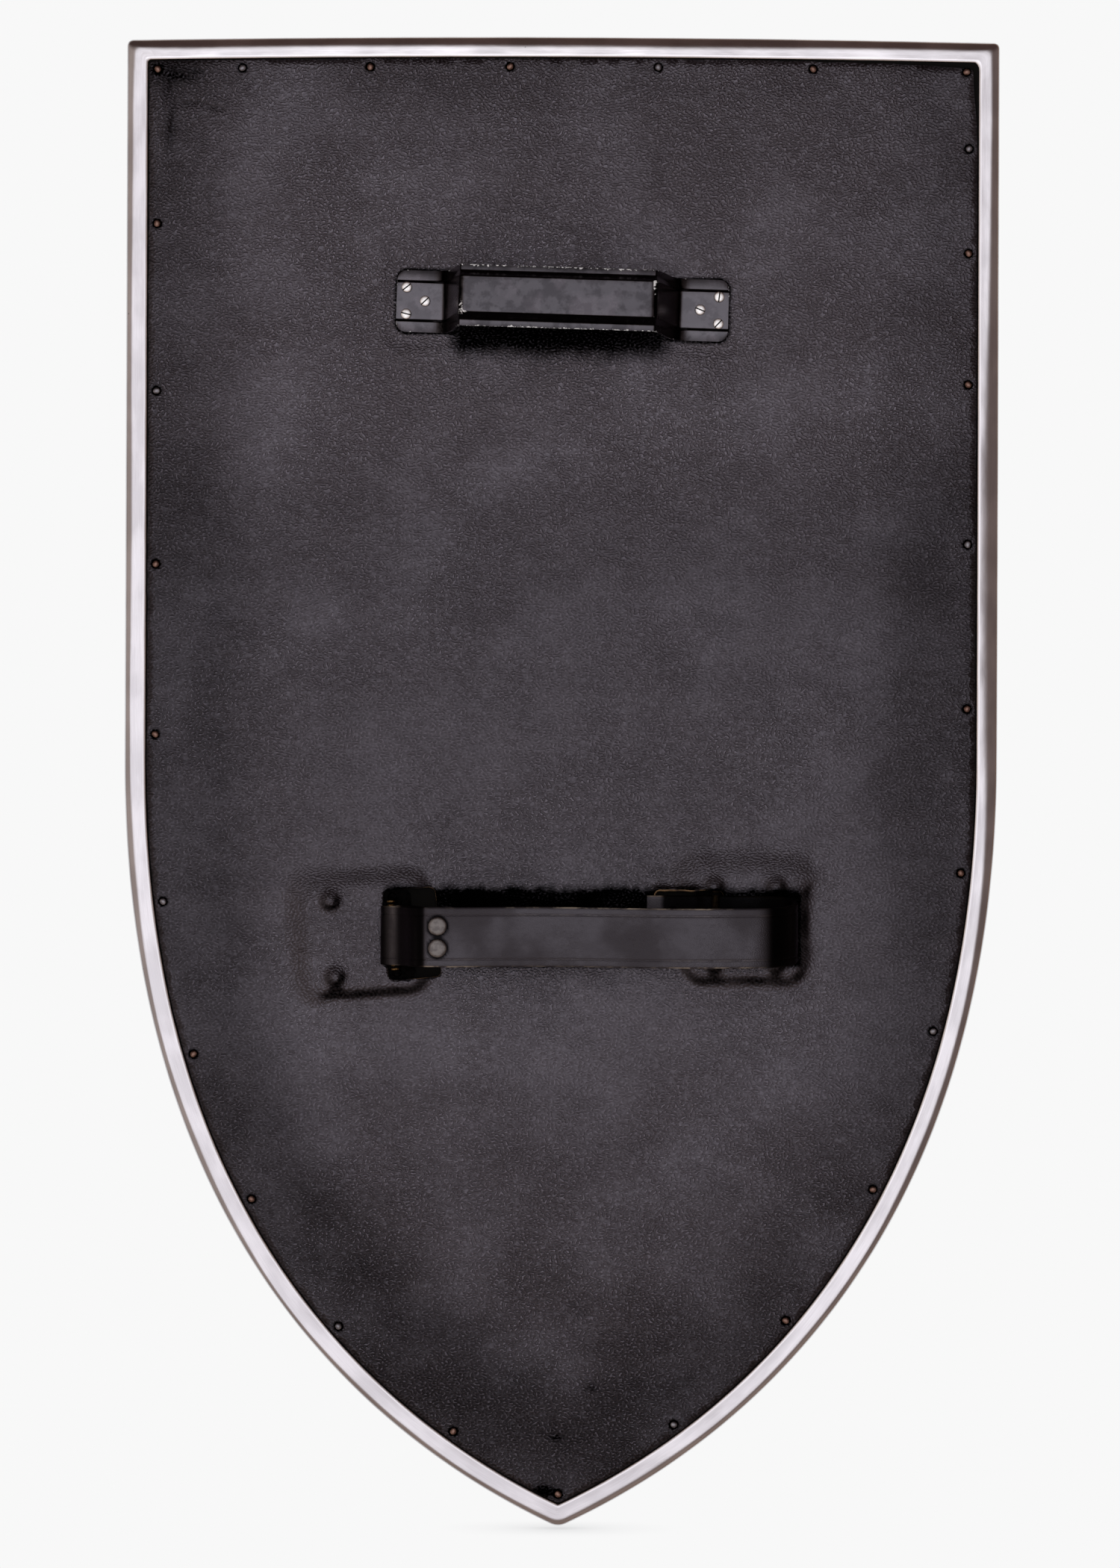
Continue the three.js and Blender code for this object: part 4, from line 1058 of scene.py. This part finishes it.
# Arm strap
strap_width = 30.0
strap_thickness = 2.8
strap_z = -78.0
right_level = centre_of("anchor_pin_right")[2]
strap_height = 39.3
strap_step = 1.1
loop_radius = 6.2
loop_turns = (-50, 110)
loop_shift = 1.3
loop_pull = 10.0
fold_length = 7.0
fold_pull = 6.0
bend_reach = 24.0
bend_start = 94.5
tail_end = 44.1
tail_drop = 8.0
rivet_x = -61.5
rivet_burr_radius = 3.6
rivet_head_radius = 4.65
seat_gap = 0.3
plate_thickness = 1.6
pin_height = 9.2
pin_radius = 2.0
ear_radius = 3.25
strap_round = 0.8
raw_band = 0.45
crease_inset, crease_half, crease_depth = 3.9, 0.4, 0.2
# Points across half of its front, closest by the crease. Its back keeps three of them
front_points = (13.2, 12.4, 11.75, 11.35, 11.1, 10.85, 10.45, 9.8, 8.7, 7.5, 6.0, 4.5, 3.0, 1.5, 0.5)
back_points = (13.2, 7.5, 1.5)
# Its span is cupped, bowed and swayed a little, between these places
span_left, span_above = (-62, -54), 30
cupping, bowing, bow_length, swaying, sway_length = 0.25, 0.175, 31, 0.3, 23
bow_left, bow_right = (-50, -20), (95, 70)
# The turn up to the rivets gets a painted highlight. Painted shade lies on the other bends and under the
# span
shine_x, shine_half, shine_below, highlight_half, highlight_share = -84.5, 2.6, 36, 3.2, 0.9
bend_tilts, under_height, under_from, strap_painted_shade = (0.004, 0.07), 20, (50, 53), 0.95
# Painted shade round the rivets
rivet_painted_shade, rivet_painted_shade_reach = 0.9, (6.3, 5.2)


def strap_line():
    """The strap's middle line in x and height above the board, from its folded end to its tail, and how
    high it passes the right pin."""
    left_pin, right_pin = (centre_of(f"anchor_pin_{side}")[0] for side in ("left", "right"))
    half = strap_thickness / 2
    tail_run = pin_height - pin_radius - seat_gap - half
    tail_level = plate_thickness + seat_gap + half
    folded = strap_height - strap_thickness - seat_gap
    loop = np.array([left_pin + loop_shift, tail_level + loop_radius])
    start, end = (math.radians(turn) for turn in loop_turns)

    def on_loop(angle):
        return loop + loop_radius * np.array([math.cos(angle), math.sin(angle)])

    def loop_way(angle):
        return np.array([math.sin(angle), -math.cos(angle)])

    turn = np.array([rivet_x - rivet_burr_radius - seat_gap, folded])
    crease = np.array([rivet_x - rivet_head_radius, strap_height])
    shares = np.linspace(0, 1, 40)
    before_loop = on_loop(start) - loop_pull * loop_way(start)
    after_loop = on_loop(end) + loop_pull * loop_way(end)
    down = bezier((turn, turn - (fold_pull, 0), before_loop, on_loop(start)), shares)
    around = np.array([on_loop(angle) for angle in np.linspace(start, end - 2 * math.pi, 60)])
    up = bezier((on_loop(end), after_loop, crease - (loop_pull, 0), crease), shares)
    bend_half = (strap_height - tail_run) / 2
    turns = np.linspace(math.pi / 2, -math.pi / 2, 70)
    bend_heights = strap_height - bend_half + bend_half * np.sin(turns)
    bend = np.column_stack([bend_start + bend_reach * np.cos(turns), bend_heights])
    by_pin = right_pin - ear_radius
    halfway, past = by_pin - tail_drop / 2, by_pin - tail_drop
    drop = np.array([(by_pin, tail_run), (halfway, tail_run), (halfway, tail_level), (past, tail_level)])
    first, last = [(rivet_x + fold_length, folded)], [(tail_end, tail_level)]
    line = np.vstack([first, down, around, up, bend, bezier(drop, shares), last])
    keep = np.concatenate([[True], np.linalg.norm(np.diff(line, axis=0), axis=1) > 0.02])
    return evenly(line[keep], strap_step), tail_run


def strap_section():
    """Points round the strap's section, across it and through its thickness, with rounded edges."""
    flat, thick = strap_width / 2 - strap_round, strap_thickness / 2
    right = []
    for angle in np.linspace(0, math.pi / 2, 4)[:-1]:
        across, through = strap_round * math.cos(angle), strap_round * math.sin(angle)
        right.append((flat + across, thick - strap_round + through))
    right += [(w, thick) for w in (flat, *front_points)]
    front = right + [(-w, v) for w, v in reversed(right)]
    back = [(w, -v) for w, v in reversed(front) if abs(w) > flat - 0.01 or abs(w) in back_points]
    return np.array(front + back)


def make_strap():
    line, tail_run = strap_line()
    way = way_of(line)
    w, v = strap_section().T
    half = strap_width / 2
    crease = np.exp(-(((np.abs(w) - (half - crease_inset)) / crease_half) ** 2)) * (v > 0)
    rings, creased = [], []
    for run, (x, height), along in zip(run_of(line), line, way):
        past = (strap_height - height) / (strap_height - tail_run)
        level = strap_z + (right_level - strap_z) * (smoothstep(0, 1, past) if x > 0 else 0)
        fade = smoothstep(*span_left, x) * (height > span_above)
        bow = bowing * math.sin(run / bow_length) * smoothstep(*bow_left, x) * smoothstep(*bow_right, x)
        offset = v - crease_depth * crease - cupping * (w / half) ** 2 * fade + bow
        sway = swaying * math.sin(run / sway_length + 1) * fade
        y = board_back - (height + offset * along[0])
        rings.append(np.column_stack([x - offset * along[1], y, level + w + sway]))
        # The turn up to the rivets gets a painted highlight, carried with the creases
        shine = math.exp(-(((x - shine_x) / shine_half) ** 2)) * (height < shine_below)
        creased.append(crease * fade + shine)
    points = np.vstack(rings)
    faces = tube_faces(len(line), len(w), caps=True)
    raw = np.tile(np.abs(w) > half - raw_band, len(line))
    values = {"crease": np.concatenate(creased), "raw_edge": raw}
    mesh = make_mesh("arm_strap_leather", points, faces, values, sharp_from=50)
    recalculate(mesh)
    x, y, z = points.T
    height = board_back - y
    # Painted shade on the bends, under the span and round the rivets
    bends = smoothstep(*bend_tilts, np.repeat(1 - np.abs(way[:, 0]), len(w)))
    bends *= 1 - highlight_share * np.exp(-(((x - shine_x) / highlight_half) ** 2))
    under = (height < under_height) * smoothstep(*under_from, x)
    painted_shade_and_dullness = strap_painted_shade * np.maximum(bends, under)
    for i in (1, 2):
        rivet = centre_of(f"strap_rivet_{i}")
        by_rivet = smoothstep(*rivet_painted_shade_reach, np.hypot(x - rivet[0], z - rivet[2]))
        painted_shade_and_dullness = np.maximum(painted_shade_and_dullness, rivet_painted_shade * by_rivet * (height > span_above))
    add_values(mesh, "painted_shade", painted_shade_and_dullness)
    return add_piece("arm_strap_leather", mesh, [strap_black], ("arm_strap",))


# Hand grip, in its own frame: u along it, h above the lining, w across it
grip_turn = 1.6
grip_z = top_z - 137.8
grip_length = 169.0
grip_sheet = 1.5
grip_height = 40.0
left_tab, right_tab = 25.0, 25.5
left_leg, right_leg = 7.6, 12.2
bar_shape = {"crown": 18.4, "wall": 3.0, "width": 30.8, "depth": 7.0}
bar_lean, bar_lean_heights = 1.0, (3, 33)
bar_dents, bar_dent_size = 0.12, 12
tab_shape = {"crown": 19.0, "wall": 0.8, "width": 31.5, "depth": 1.2}
tab_top = tab_shape["depth"] + grip_sheet
tab_corner = 5.0
lip_bend, crown_bend = 1.2, 1.1
# Bends along it: at the feet of its legs, and at the crown's left and right end, where the deeper lips
# bend tighter, down to the least radius
foot_bend, crown_end_bends, lip_tighter = 3.0, ((3.6, 1.0), (4.2, 1.2)), 0.4
grip_row = 3.0
# Worn paint, as shares: the bar has been knocked on its lips and on the bends of its crown, and most
# where the crown ends. The tabs are worn at their lips and tips
bar_heights, crown_worn, crown_bend_w, crown_bend_half = (26, 32), 0.30, 9.0, 0.8
lip_worn, tab_lip_worn, lip_from = 0.74, 0.46, (14.2, 15.3)
end_worn, end_half, end_inside = 0.74, 1.7, (13, 8)
left_end, left_end_fade, right_end, right_end_fade, right_end_least = -50.8, (4, -5), 46.2, (-3, 6), 0.3
tip_worn, tip_from = 0.55, (82.5, 84.5)
# Painted shade on the legs and lips, and a painted darkening of the bar
leg_painted_shade, leg_tilts, lip_painted_shade, outer_from, bar_darkening = 1.06, (0.03, 0.12), 0.4, (12.2, 12.8), 0.3


def from_grip(points):
    """Points from the grip's own frame (u, h, w) into the shield's."""
    turn = math.radians(grip_turn)
    u, h, w = points[..., 0], points[..., 1], points[..., 2]
    x = u * math.cos(turn) + w * math.sin(turn)
    z = grip_z - u * math.sin(turn) + w * math.cos(turn)
    return np.stack([x, lining_back - h, z], axis=-1)


def grip_columns(shape, narrow):
    """Across the grip: place and depth of its outer face, with rounded bends."""
    crown, foot = shape["crown"] / 2, shape["crown"] / 2 + shape["wall"]
    half, depth = shape["width"] / 2 - narrow, shape["depth"]
    right = [(crown, 0.0), (foot, -depth), (half, -depth)]
    corners = np.array([(-w, v) for w, v in reversed(right)] + right)
    line = fillet(corners, (lip_bend, crown_bend, crown_bend, lip_bend), 4)
    middle = np.array([(w, 0.0) for w in np.linspace(-0.72, 0.72, 7) * crown])
    return np.vstack([line[:11], middle, line[11:]])


def tab_tip(side):
    """The rows of a tab's rounded tip, from its end inwards: u, h, shape and how much narrower it is."""
    rows = []
    for angle in np.linspace(0, math.pi / 2, 5):
        from_end, narrow = tab_corner * (1 - math.cos(angle)), tab_corner * (1 - math.sin(angle))
        rows.append((side * (grip_length / 2 - from_end), tab_top, tab_shape, narrow))
    return rows


def grip_grid():
    """The grip's outer face, as rows of points in its own frame."""
    end = grip_length / 2
    path = [
        *tab_tip(-1),
        (-end + left_tab, tab_top, tab_shape, 0),
        (-end + left_tab + left_leg, grip_height, bar_shape, 0),
        (end - right_tab - right_leg, grip_height, bar_shape, 0),
        (end - right_tab, tab_top, tab_shape, 0),
        *reversed(tab_tip(1)),
    ]
    spots = np.array([(u, h) for u, h, _, _ in path])
    rows = []
    for i, (u, h, shape, narrow) in enumerate(path):
        into = spots[i] - spots[max(i - 1, 0)]
        out = spots[min(i + 1, len(spots) - 1)] - spots[i]
        into = into if into.any() else out
        out = out if out.any() else into
        into, out = into / np.linalg.norm(into), out / np.linalg.norm(out)
        outward = np.array([-into[1] - out[1], into[0] + out[0]]) / (1 + into @ out)
        if shape is bar_shape:
            outward = np.array([0.0, 1.0])  # its lips run on to where the crown bends
        rows.append([(u + v * outward[0], h + v * outward[1], w) for w, v in grip_columns(shape, narrow)])
    rows = np.array(rows)
    bends = np.zeros(len(path) - 2)
    columns = []
    for column, depth in enumerate(-grip_columns(bar_shape, 0)[:, 1]):
        left, right = (max(bend - lip_tighter * depth, least) for bend, least in crown_end_bends)
        bends[4:8] = foot_bend + depth, left, right, foot_bend + depth
        columns.append(fillet(rows[:, column], bends, 6))
    grid = np.stack(columns, axis=1)
    # More rows along the crown and the legs, where the wear changes
    dense = []
    for a, b in zip(grid, grid[1:]):
        steps = max(1, round(np.linalg.norm(b[14] - a[14]) / grip_row))
        dense += [a + (b - a) * s / steps for s in range(steps)]
    return np.array([*dense, grid[-1]])


def grip_wear(u, h, w):
    bar = smoothstep(*bar_heights, h)
    crown_bends = np.exp(-(((np.abs(w) - crown_bend_w) / crown_bend_half) ** 2))
    lip = smoothstep(*lip_from, np.abs(w))
    ends = np.exp(-(((u - left_end) / end_half) ** 2)) * smoothstep(*left_end_fade, w)
    right = right_end_least + (1 - right_end_least) * smoothstep(*right_end_fade, w)
    ends += np.exp(-(((u - right_end) / end_half) ** 2)) * right
    wear = crown_worn * crown_bends + lip_worn * lip + end_worn * ends * smoothstep(*end_inside, np.abs(w))
    tips = tab_lip_worn * lip + tip_worn * smoothstep(*tip_from, np.abs(u))
    return np.clip(bar * wear + (1 - bar) * tips, 0, 1)


def make_grip():
    grid = grip_grid()
    rows, count = grid.shape[:2]
    u, h, w = (grid[..., i] for i in range(3))
    wear = grip_wear(u, h, w)
    bar = smoothstep(*bar_heights, h)
    h = h - bar_dents * (0.5 + 0.5 * ripple(u, w, bar_dent_size, seed=31)) * bar
    w = w + bar_lean * smoothstep(*bar_lean_heights, h)
    points = from_grip(np.stack([u, h, w], axis=-1)).reshape(-1, 3)
    faces = []
    for row in range(rows - 1):
        for a in range(row * count, row * count + count - 1):
            faces.append((a, a + 1, a + count + 1, a + count))
    mesh = make_mesh("grip_bar", points, faces, {"edge_wear": wear.ravel()}, sharp_from=50)
    # Painted shade on the legs by their tilt and on the lips, and a painted darkening of the bar
    legs = leg_painted_shade * smoothstep(*leg_tilts, 1 - np.abs(normals_of(mesh)[:, 1]))
    outer = np.maximum(lip_painted_shade * smoothstep(*outer_from, np.abs(w)), bar_darkening * bar).ravel()
    add_values(mesh, "painted_shade", np.maximum(legs, outer))
    if mesh.polygons[len(mesh.polygons) // 2].normal.y > 0:
        mesh.flip_normals()
    piece = add_piece("grip_bar", mesh, [enamel], ("hand_grip",))
    sheet = piece.modifiers.new("sheet", "SOLIDIFY")
    sheet.thickness = grip_sheet * MM
    sheet.offset = -1
    sheet.use_even_offset = True
    sheet.thickness_clamp = 1.0
    soften(piece, "soft_edges", 0.3, 2, sharp_from=50)
    settle(piece)
    return piece


# Small fastenings. Their profiles run along the axis, as radius and y
screw_radius, screw_height, screw_side = 2.65, 1.9, 1.45
screw_lift = 0.22  # the head sits down on the tab
screw_foot = [(0, 7.4), (0.91, 7.2), (1.3, 6.4), (1.3, screw_lift)]
slot_half, slot_depth, slot_reach = 0.33, 0.95, 4
slot_turns = (40, 45, -12, 85, -20, 48)
tack_height, tack_flatter, tack_uneven = 0.8, 0.06, 0.02
tack_foot = [(0, 6.5), (0.3, 5.6), (0.6, 4.6), (0.6, 0.25), (1.55, 0.27), (1.7, 0.12), (1.7, -0.05)]
tack_tilt = 5
# Rivets: their end from its outer face, and their cap from its seat on the strap
rivet_seat = 1.3
rivet_foot = [(1.2, 0.05), (2.2, 0.4), (2.2, 0.8), (1.6, 0.82)]
rivet_cap = [
    (1.6, 0.2), (4.4, 0.22), (4.65, 0.05), (4.65, -0.45), (4.5, -0.75),
    (4.1, -0.98), (3.3, -1.12), (2.0, -1.22), (0.9, -1.27),
]


def dome(radius, low, high, steps):
    """Profile of a shallow dome from its edge to its top, on the axis."""
    angles = np.linspace(0, math.pi / 2, steps)
    return [(radius * math.cos(a), low + (high - low) * math.sin(a)) for a in angles]


def turned_mesh(name, profile, sides, sharp_from, out_of_round=0.0, place=(0, 0, 0)):
    points, faces = turned(profile, sides, out_of_round)
    mesh = make_mesh(name, points + place, faces, sharp_from=sharp_from)
    recalculate(mesh)
    return mesh


def slotted_head(mesh):
    """The screw with its slot cut, and the slot's sides in a second material that is painted dark as the
    shade in the slot.
    """
    corners = [
        (x, y, z)
        for y in (-screw_height + slot_depth, -screw_height - 1)
        for x in (-slot_reach, slot_reach)
        for z in (-slot_half, slot_half)
    ]
    faces = [(0, 1, 3, 2), (4, 6, 7, 5), (0, 2, 6, 4), (1, 5, 7, 3), (0, 4, 5, 1), (2, 3, 7, 6)]
    box = make_mesh("slot", corners, faces)
    recalculate(box)
    box.materials.append(slot_shade)
    mesh.materials.append(zinc)
    cutter, blank = new_object("slot", box), new_object("blank", mesh)
    cut = blank.modifiers.new("slot", "BOOLEAN")
    cut.object = cutter
    cut.operation = "DIFFERENCE"
    cut.solver = "EXACT"
    cut.material_mode = "TRANSFER"
    soften(blank, "burr", 0.07, 1, sharp_from=50)
    bpy.context.view_layer.update()
    settle(blank)
    head = blank.data
    head.shade_smooth()
    head.set_sharp_from_angle(angle=math.radians(42))
    bpy.data.objects.remove(blank)
    bpy.data.objects.remove(cutter)
    return head


def make_screws():
    profile = screw_foot + [(screw_radius - 0.12, screw_lift), (screw_radius, screw_lift - 0.14)]
    profile.append((screw_radius, 0.15 - screw_side))
    profile += dome(screw_radius - 0.06, -screw_side, -screw_height, 9)
    head = slotted_head(turned_mesh("slotted_screw", profile, 48, sharp_from=45))
    for i, slot_turn in enumerate(slot_turns, 1):
        node = f"grip_screw_{i}"
        x, _, z = centre_of(node)
        low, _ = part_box(node)
        place = (x * MM, low.y + screw_height * MM, z * MM)
        turn = (0, math.radians(grip_turn - slot_turn), 0)
        add_piece(f"slotted_screw_{i}", head, [], (node,), place, turn)


def make_tacks():
    rng = np.random.default_rng(7)
    kinds = {}
    for finish, material in (("copper", copper), ("zinc", grey_zinc)):
        for shape in range(3):
            profile = tack_foot + dome(1.66, -0.12, -tack_height + tack_flatter * shape, 6)
            mesh = turned_mesh(f"{finish}_tack_{shape}", profile, 24, 45, tack_uneven * (1 + shape))
            mesh.materials.append(material)
            kinds[finish, shape] = mesh
    for i, (name, (x, z)) in enumerate(zip(tack_names, tack_places)):
        finish = "zinc" if i % 3 == 1 else "copper"
        mesh = kinds[finish, int(rng.integers(3))]
        low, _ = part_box(name)
        place = (x * MM, low.y + tack_height * MM, z * MM)
        tilt = rng.uniform(-tack_tilt, tack_tilt, 2)
        turn = (math.radians(tilt[0]), rng.uniform(0, 6.28), math.radians(tilt[1]))
        head_name = name.replace("lining_tack", "tack_head")
        add_piece(head_name, mesh, [], (name,), place, turn)


def make_rivets():
    for i in (1, 2):
        node = f"strap_rivet_{i}"
        low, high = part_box(node)
        x, _, z = centre_of(node)
        top, foot = low.y / MM, high.y / MM
        seat = top + rivet_seat
        profile = [(0, foot)] + [(radius, foot - y) for radius, y in rivet_foot]
        profile += [(radius, seat + y) for radius, y in rivet_cap] + [(0, top)]
        name = f"flat_rivet_{i}"
        mesh = turned_mesh(name, profile, 48, sharp_from=50, out_of_round=0.006, place=(x, 0, z))
        add_piece(name, mesh, [rivet_grey], (node,))


def dress_frame_nodes():
    """Materials and soft edges for the CAD nodes that are shown as they are."""
    finishes = {
        "board_core": plywood, "front_face": sheet_steel,
        "anchor_pin_left": brass, "anchor_pin_right": shaded_brass,
        "rivet_burr_1": rivet_grey, "rivet_burr_2": rivet_grey,
    }
    for name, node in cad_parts.items():
        if name.startswith("anchor_") and "pin" not in name or name.startswith("tail_screw"):
            finishes[name] = black_steel
        if name in finishes:
            node.data.materials.clear()
            node.data.materials.append(finishes[name])
        if name.startswith(("anchor_", "tail_screw", "rivet_burr")):
            soften(node, "soft_edges", 0.15, 2, sharp_from=40)


# Light
light_middle = (-0.03, 0.0, -0.02)
light_reach = (0.07, 0.78)
light_colour = (1.55, 1.52, 1.58, 1)
fill_colour = (0.45, 0.44, 0.46, 1)
room_left, room_right = (0.50, 0.42, 0.38, 1), (0.20, 0.15, 0.135, 1)
room_above, room_below = (0.075, 0.045, 0.038, 1), (0.36, 0.28, 0.24, 1)
behind_left, behind_right = (0.36, 0.30, 0.27, 1), (0.24, 0.14, 0.08, 1)
camera_pale = "#f8f8f8"


def studio_world():
    """Pale for the camera. What mirror surfaces see is a soft light ahead of the shield that fades to the
    sides, and a brown, darker room beside, over and under it."""
    world = bpy.data.worlds.new("studio")
    scene.world = world
    add = node_adder(world)
    glossy, seen, through = (
        add("LightPath", (), f"Is {ray} Ray") for ray in ("Glossy", "Camera", "Transmission")
    )
    way = add("TexCoord", (), "Generated")
    x, y, z = (add("SeparateXYZ", (way,), axis) for axis in "XYZ")
    pale = colour(camera_pale)
    # The room, by the way it lies from the shield
    right = add("MapRange", (x, -0.5, 0.5), **smooth)
    up = add("MapRange", (z, 0.1, 0.65), **smooth)
    down = add("MapRange", (z, -0.35, -0.8), **smooth)
    room = add("Mix", {0: right, 6: room_left, 7: room_right}, **mixed)
    room = add("Mix", {0: up, 6: room, 7: room_above}, **mixed)
    room = add("Mix", {0: down, 6: room, 7: room_below}, **mixed)
    # Behind the shield it is warmer beside and below, and pale straight ahead
    behind = add("MapRange", (y, 0.15, 0.5), **smooth)
    straight = add("MapRange", (y, 0.45, 0.72), **smooth)
    warm = add("Mix", {0: right, 6: behind_left, 7: behind_right}, **mixed)
    room = add("Mix", {0: behind, 6: room, 7: warm}, **mixed)
    room = add("Mix", {0: straight, 6: room, 7: pale}, **mixed)
    # The soft light round the camera
    off_middle = add("VectorMath", (way, light_middle), operation="SUBTRACT")
    off_middle = add("VectorMath", (off_middle, (1, 0, 1)), **times)
    spread = add("VectorMath", (off_middle,), "Value", operation="LENGTH")
    lit = add("MapRange", (spread, light_reach[1], light_reach[0]), **smooth)
    lit = add("Math", (lit, 2.0), operation="POWER")
    near_side = add("MapRange", (y, 0.0, -0.1), **smooth)
    lit = add("Math", (lit, near_side), **times)
    room = add("Mix", {0: lit, 6: room, 7: light_colour}, **mixed)
    light = add("Mix", {0: glossy, 6: fill_colour, 7: room}, **mixed)
    direct = add("Math", (seen, through), operation="MAXIMUM")
    light = add("Mix", {0: direct, 6: light, 7: pale}, **mixed)
    background = add("Background", {"Color": light, "Strength": 1.0})
    add("OutputWorld", (background,))


def soft_lamp(name, place, size, power):
    """A wide lamp that faces the shield's middle. No camera or mirror surface sees it."""
    data = bpy.data.lights.new(name, "AREA")
    data.shape = "RECTANGLE"
    data.size, data.size_y = (s * MM for s in size)
    data.energy = power
    lamp = new_object(name, data)
    lamp.location = Vector(place) * MM
    lamp.rotation_euler = (-lamp.location).to_track_quat("-Z", "Y").to_euler()
    lamp.visible_camera = False
    lamp.visible_glossy = False


def make_floor():
    """A pale floor under the point, as pale to the camera as the background, but for the shade that
    gathers where the shield touches it."""
    size = 8000
    level = -top_z - 0.6
    corners = [(-size, -size, level), (size, -size, level), (size, size, level), (-size, size, level)]
    mesh = make_mesh("floor", corners, [(0, 1, 2, 3)])
    floor = new_object("floor", mesh)
    material, add = new_material("pale_floor")
    seen = add("LightPath", (), "Is Camera Ray")
    open_share = add("AmbientOcclusion", {"Distance": 30 * MM}, "AO")
    open_share = add("MapRange", (open_share, 0.2, 1.0), **smooth)
    shown = add("Mix", {0: open_share, 6: colour("#dcdcdd"), 7: colour(camera_pale)}, **mixed)
    glow = add("Emission", {"Color": shown, "Strength": 1.0})
    matt = add("BsdfDiffuse", {"Color": colour("#f0f0f0")})
    surface = add("MixShader", (seen, matt, glow))
    add("OutputMaterial", (surface,))
    mesh.materials.append(material)
    floor.visible_glossy = False


make_camera()
lining_black = lining_leather()
raw_edge = raw_leather()
strap_black = strap_leather()
steel = rim_steel()
sheet_steel = face_steel()
enamel = grip_paint()
zinc = plated("bright_zinc_plate", "#fbfaf9", "#e2e0de", rough=0.32, grain=1.6, dent=0.02)
# The slot's sides are painted dark as the shade in the slot
slot_shade = plated("slot_painted_shade", "#3a3634", "#141212", rough=0.6, grain=0.6, dent=0.02)
rivet_grey = plated("dull_steel", "#7e7a78", "#625e5d", rough=0.42, grain=2.5, dent=0.04)
copper = plated("browned_copper_plate", "#94786d", "#664e45", rough=0.4, grain=1.2, dent=0.05)
grey_zinc = plated("grey_zinc_plate", "#96959a", "#6c6a70", rough=0.4, grain=1.2, dent=0.05)
brass = plated("browned_brass", "#8a6c44", "#4a3a28", rough=0.45, grain=1.5, dent=0.02)
# The right pin is a darker copy of the brass, as painted shade
shaded_brass = plated("brass_painted_shade", "#241d14", "#0e0b08", rough=0.5, grain=1.5, dent=0.02)
black_steel = plated("blackened_steel", "#0e0d0d", "#050505", rough=0.6, grain=2.0, dent=0.03)
plywood = birch_plywood()

make_rim()
make_lining()
make_strap()
make_grip()
make_screws()
make_tacks()
make_rivets()
dress_frame_nodes()
studio_world()
soft_lamp("front_soft", place=(-150, -2700, -150), size=(2500, 2700), power=30)
soft_lamp("back_soft", place=(500, 2700, 500), size=(2500, 2700), power=30)
make_floor()

scene.view_settings.view_transform = "Standard"
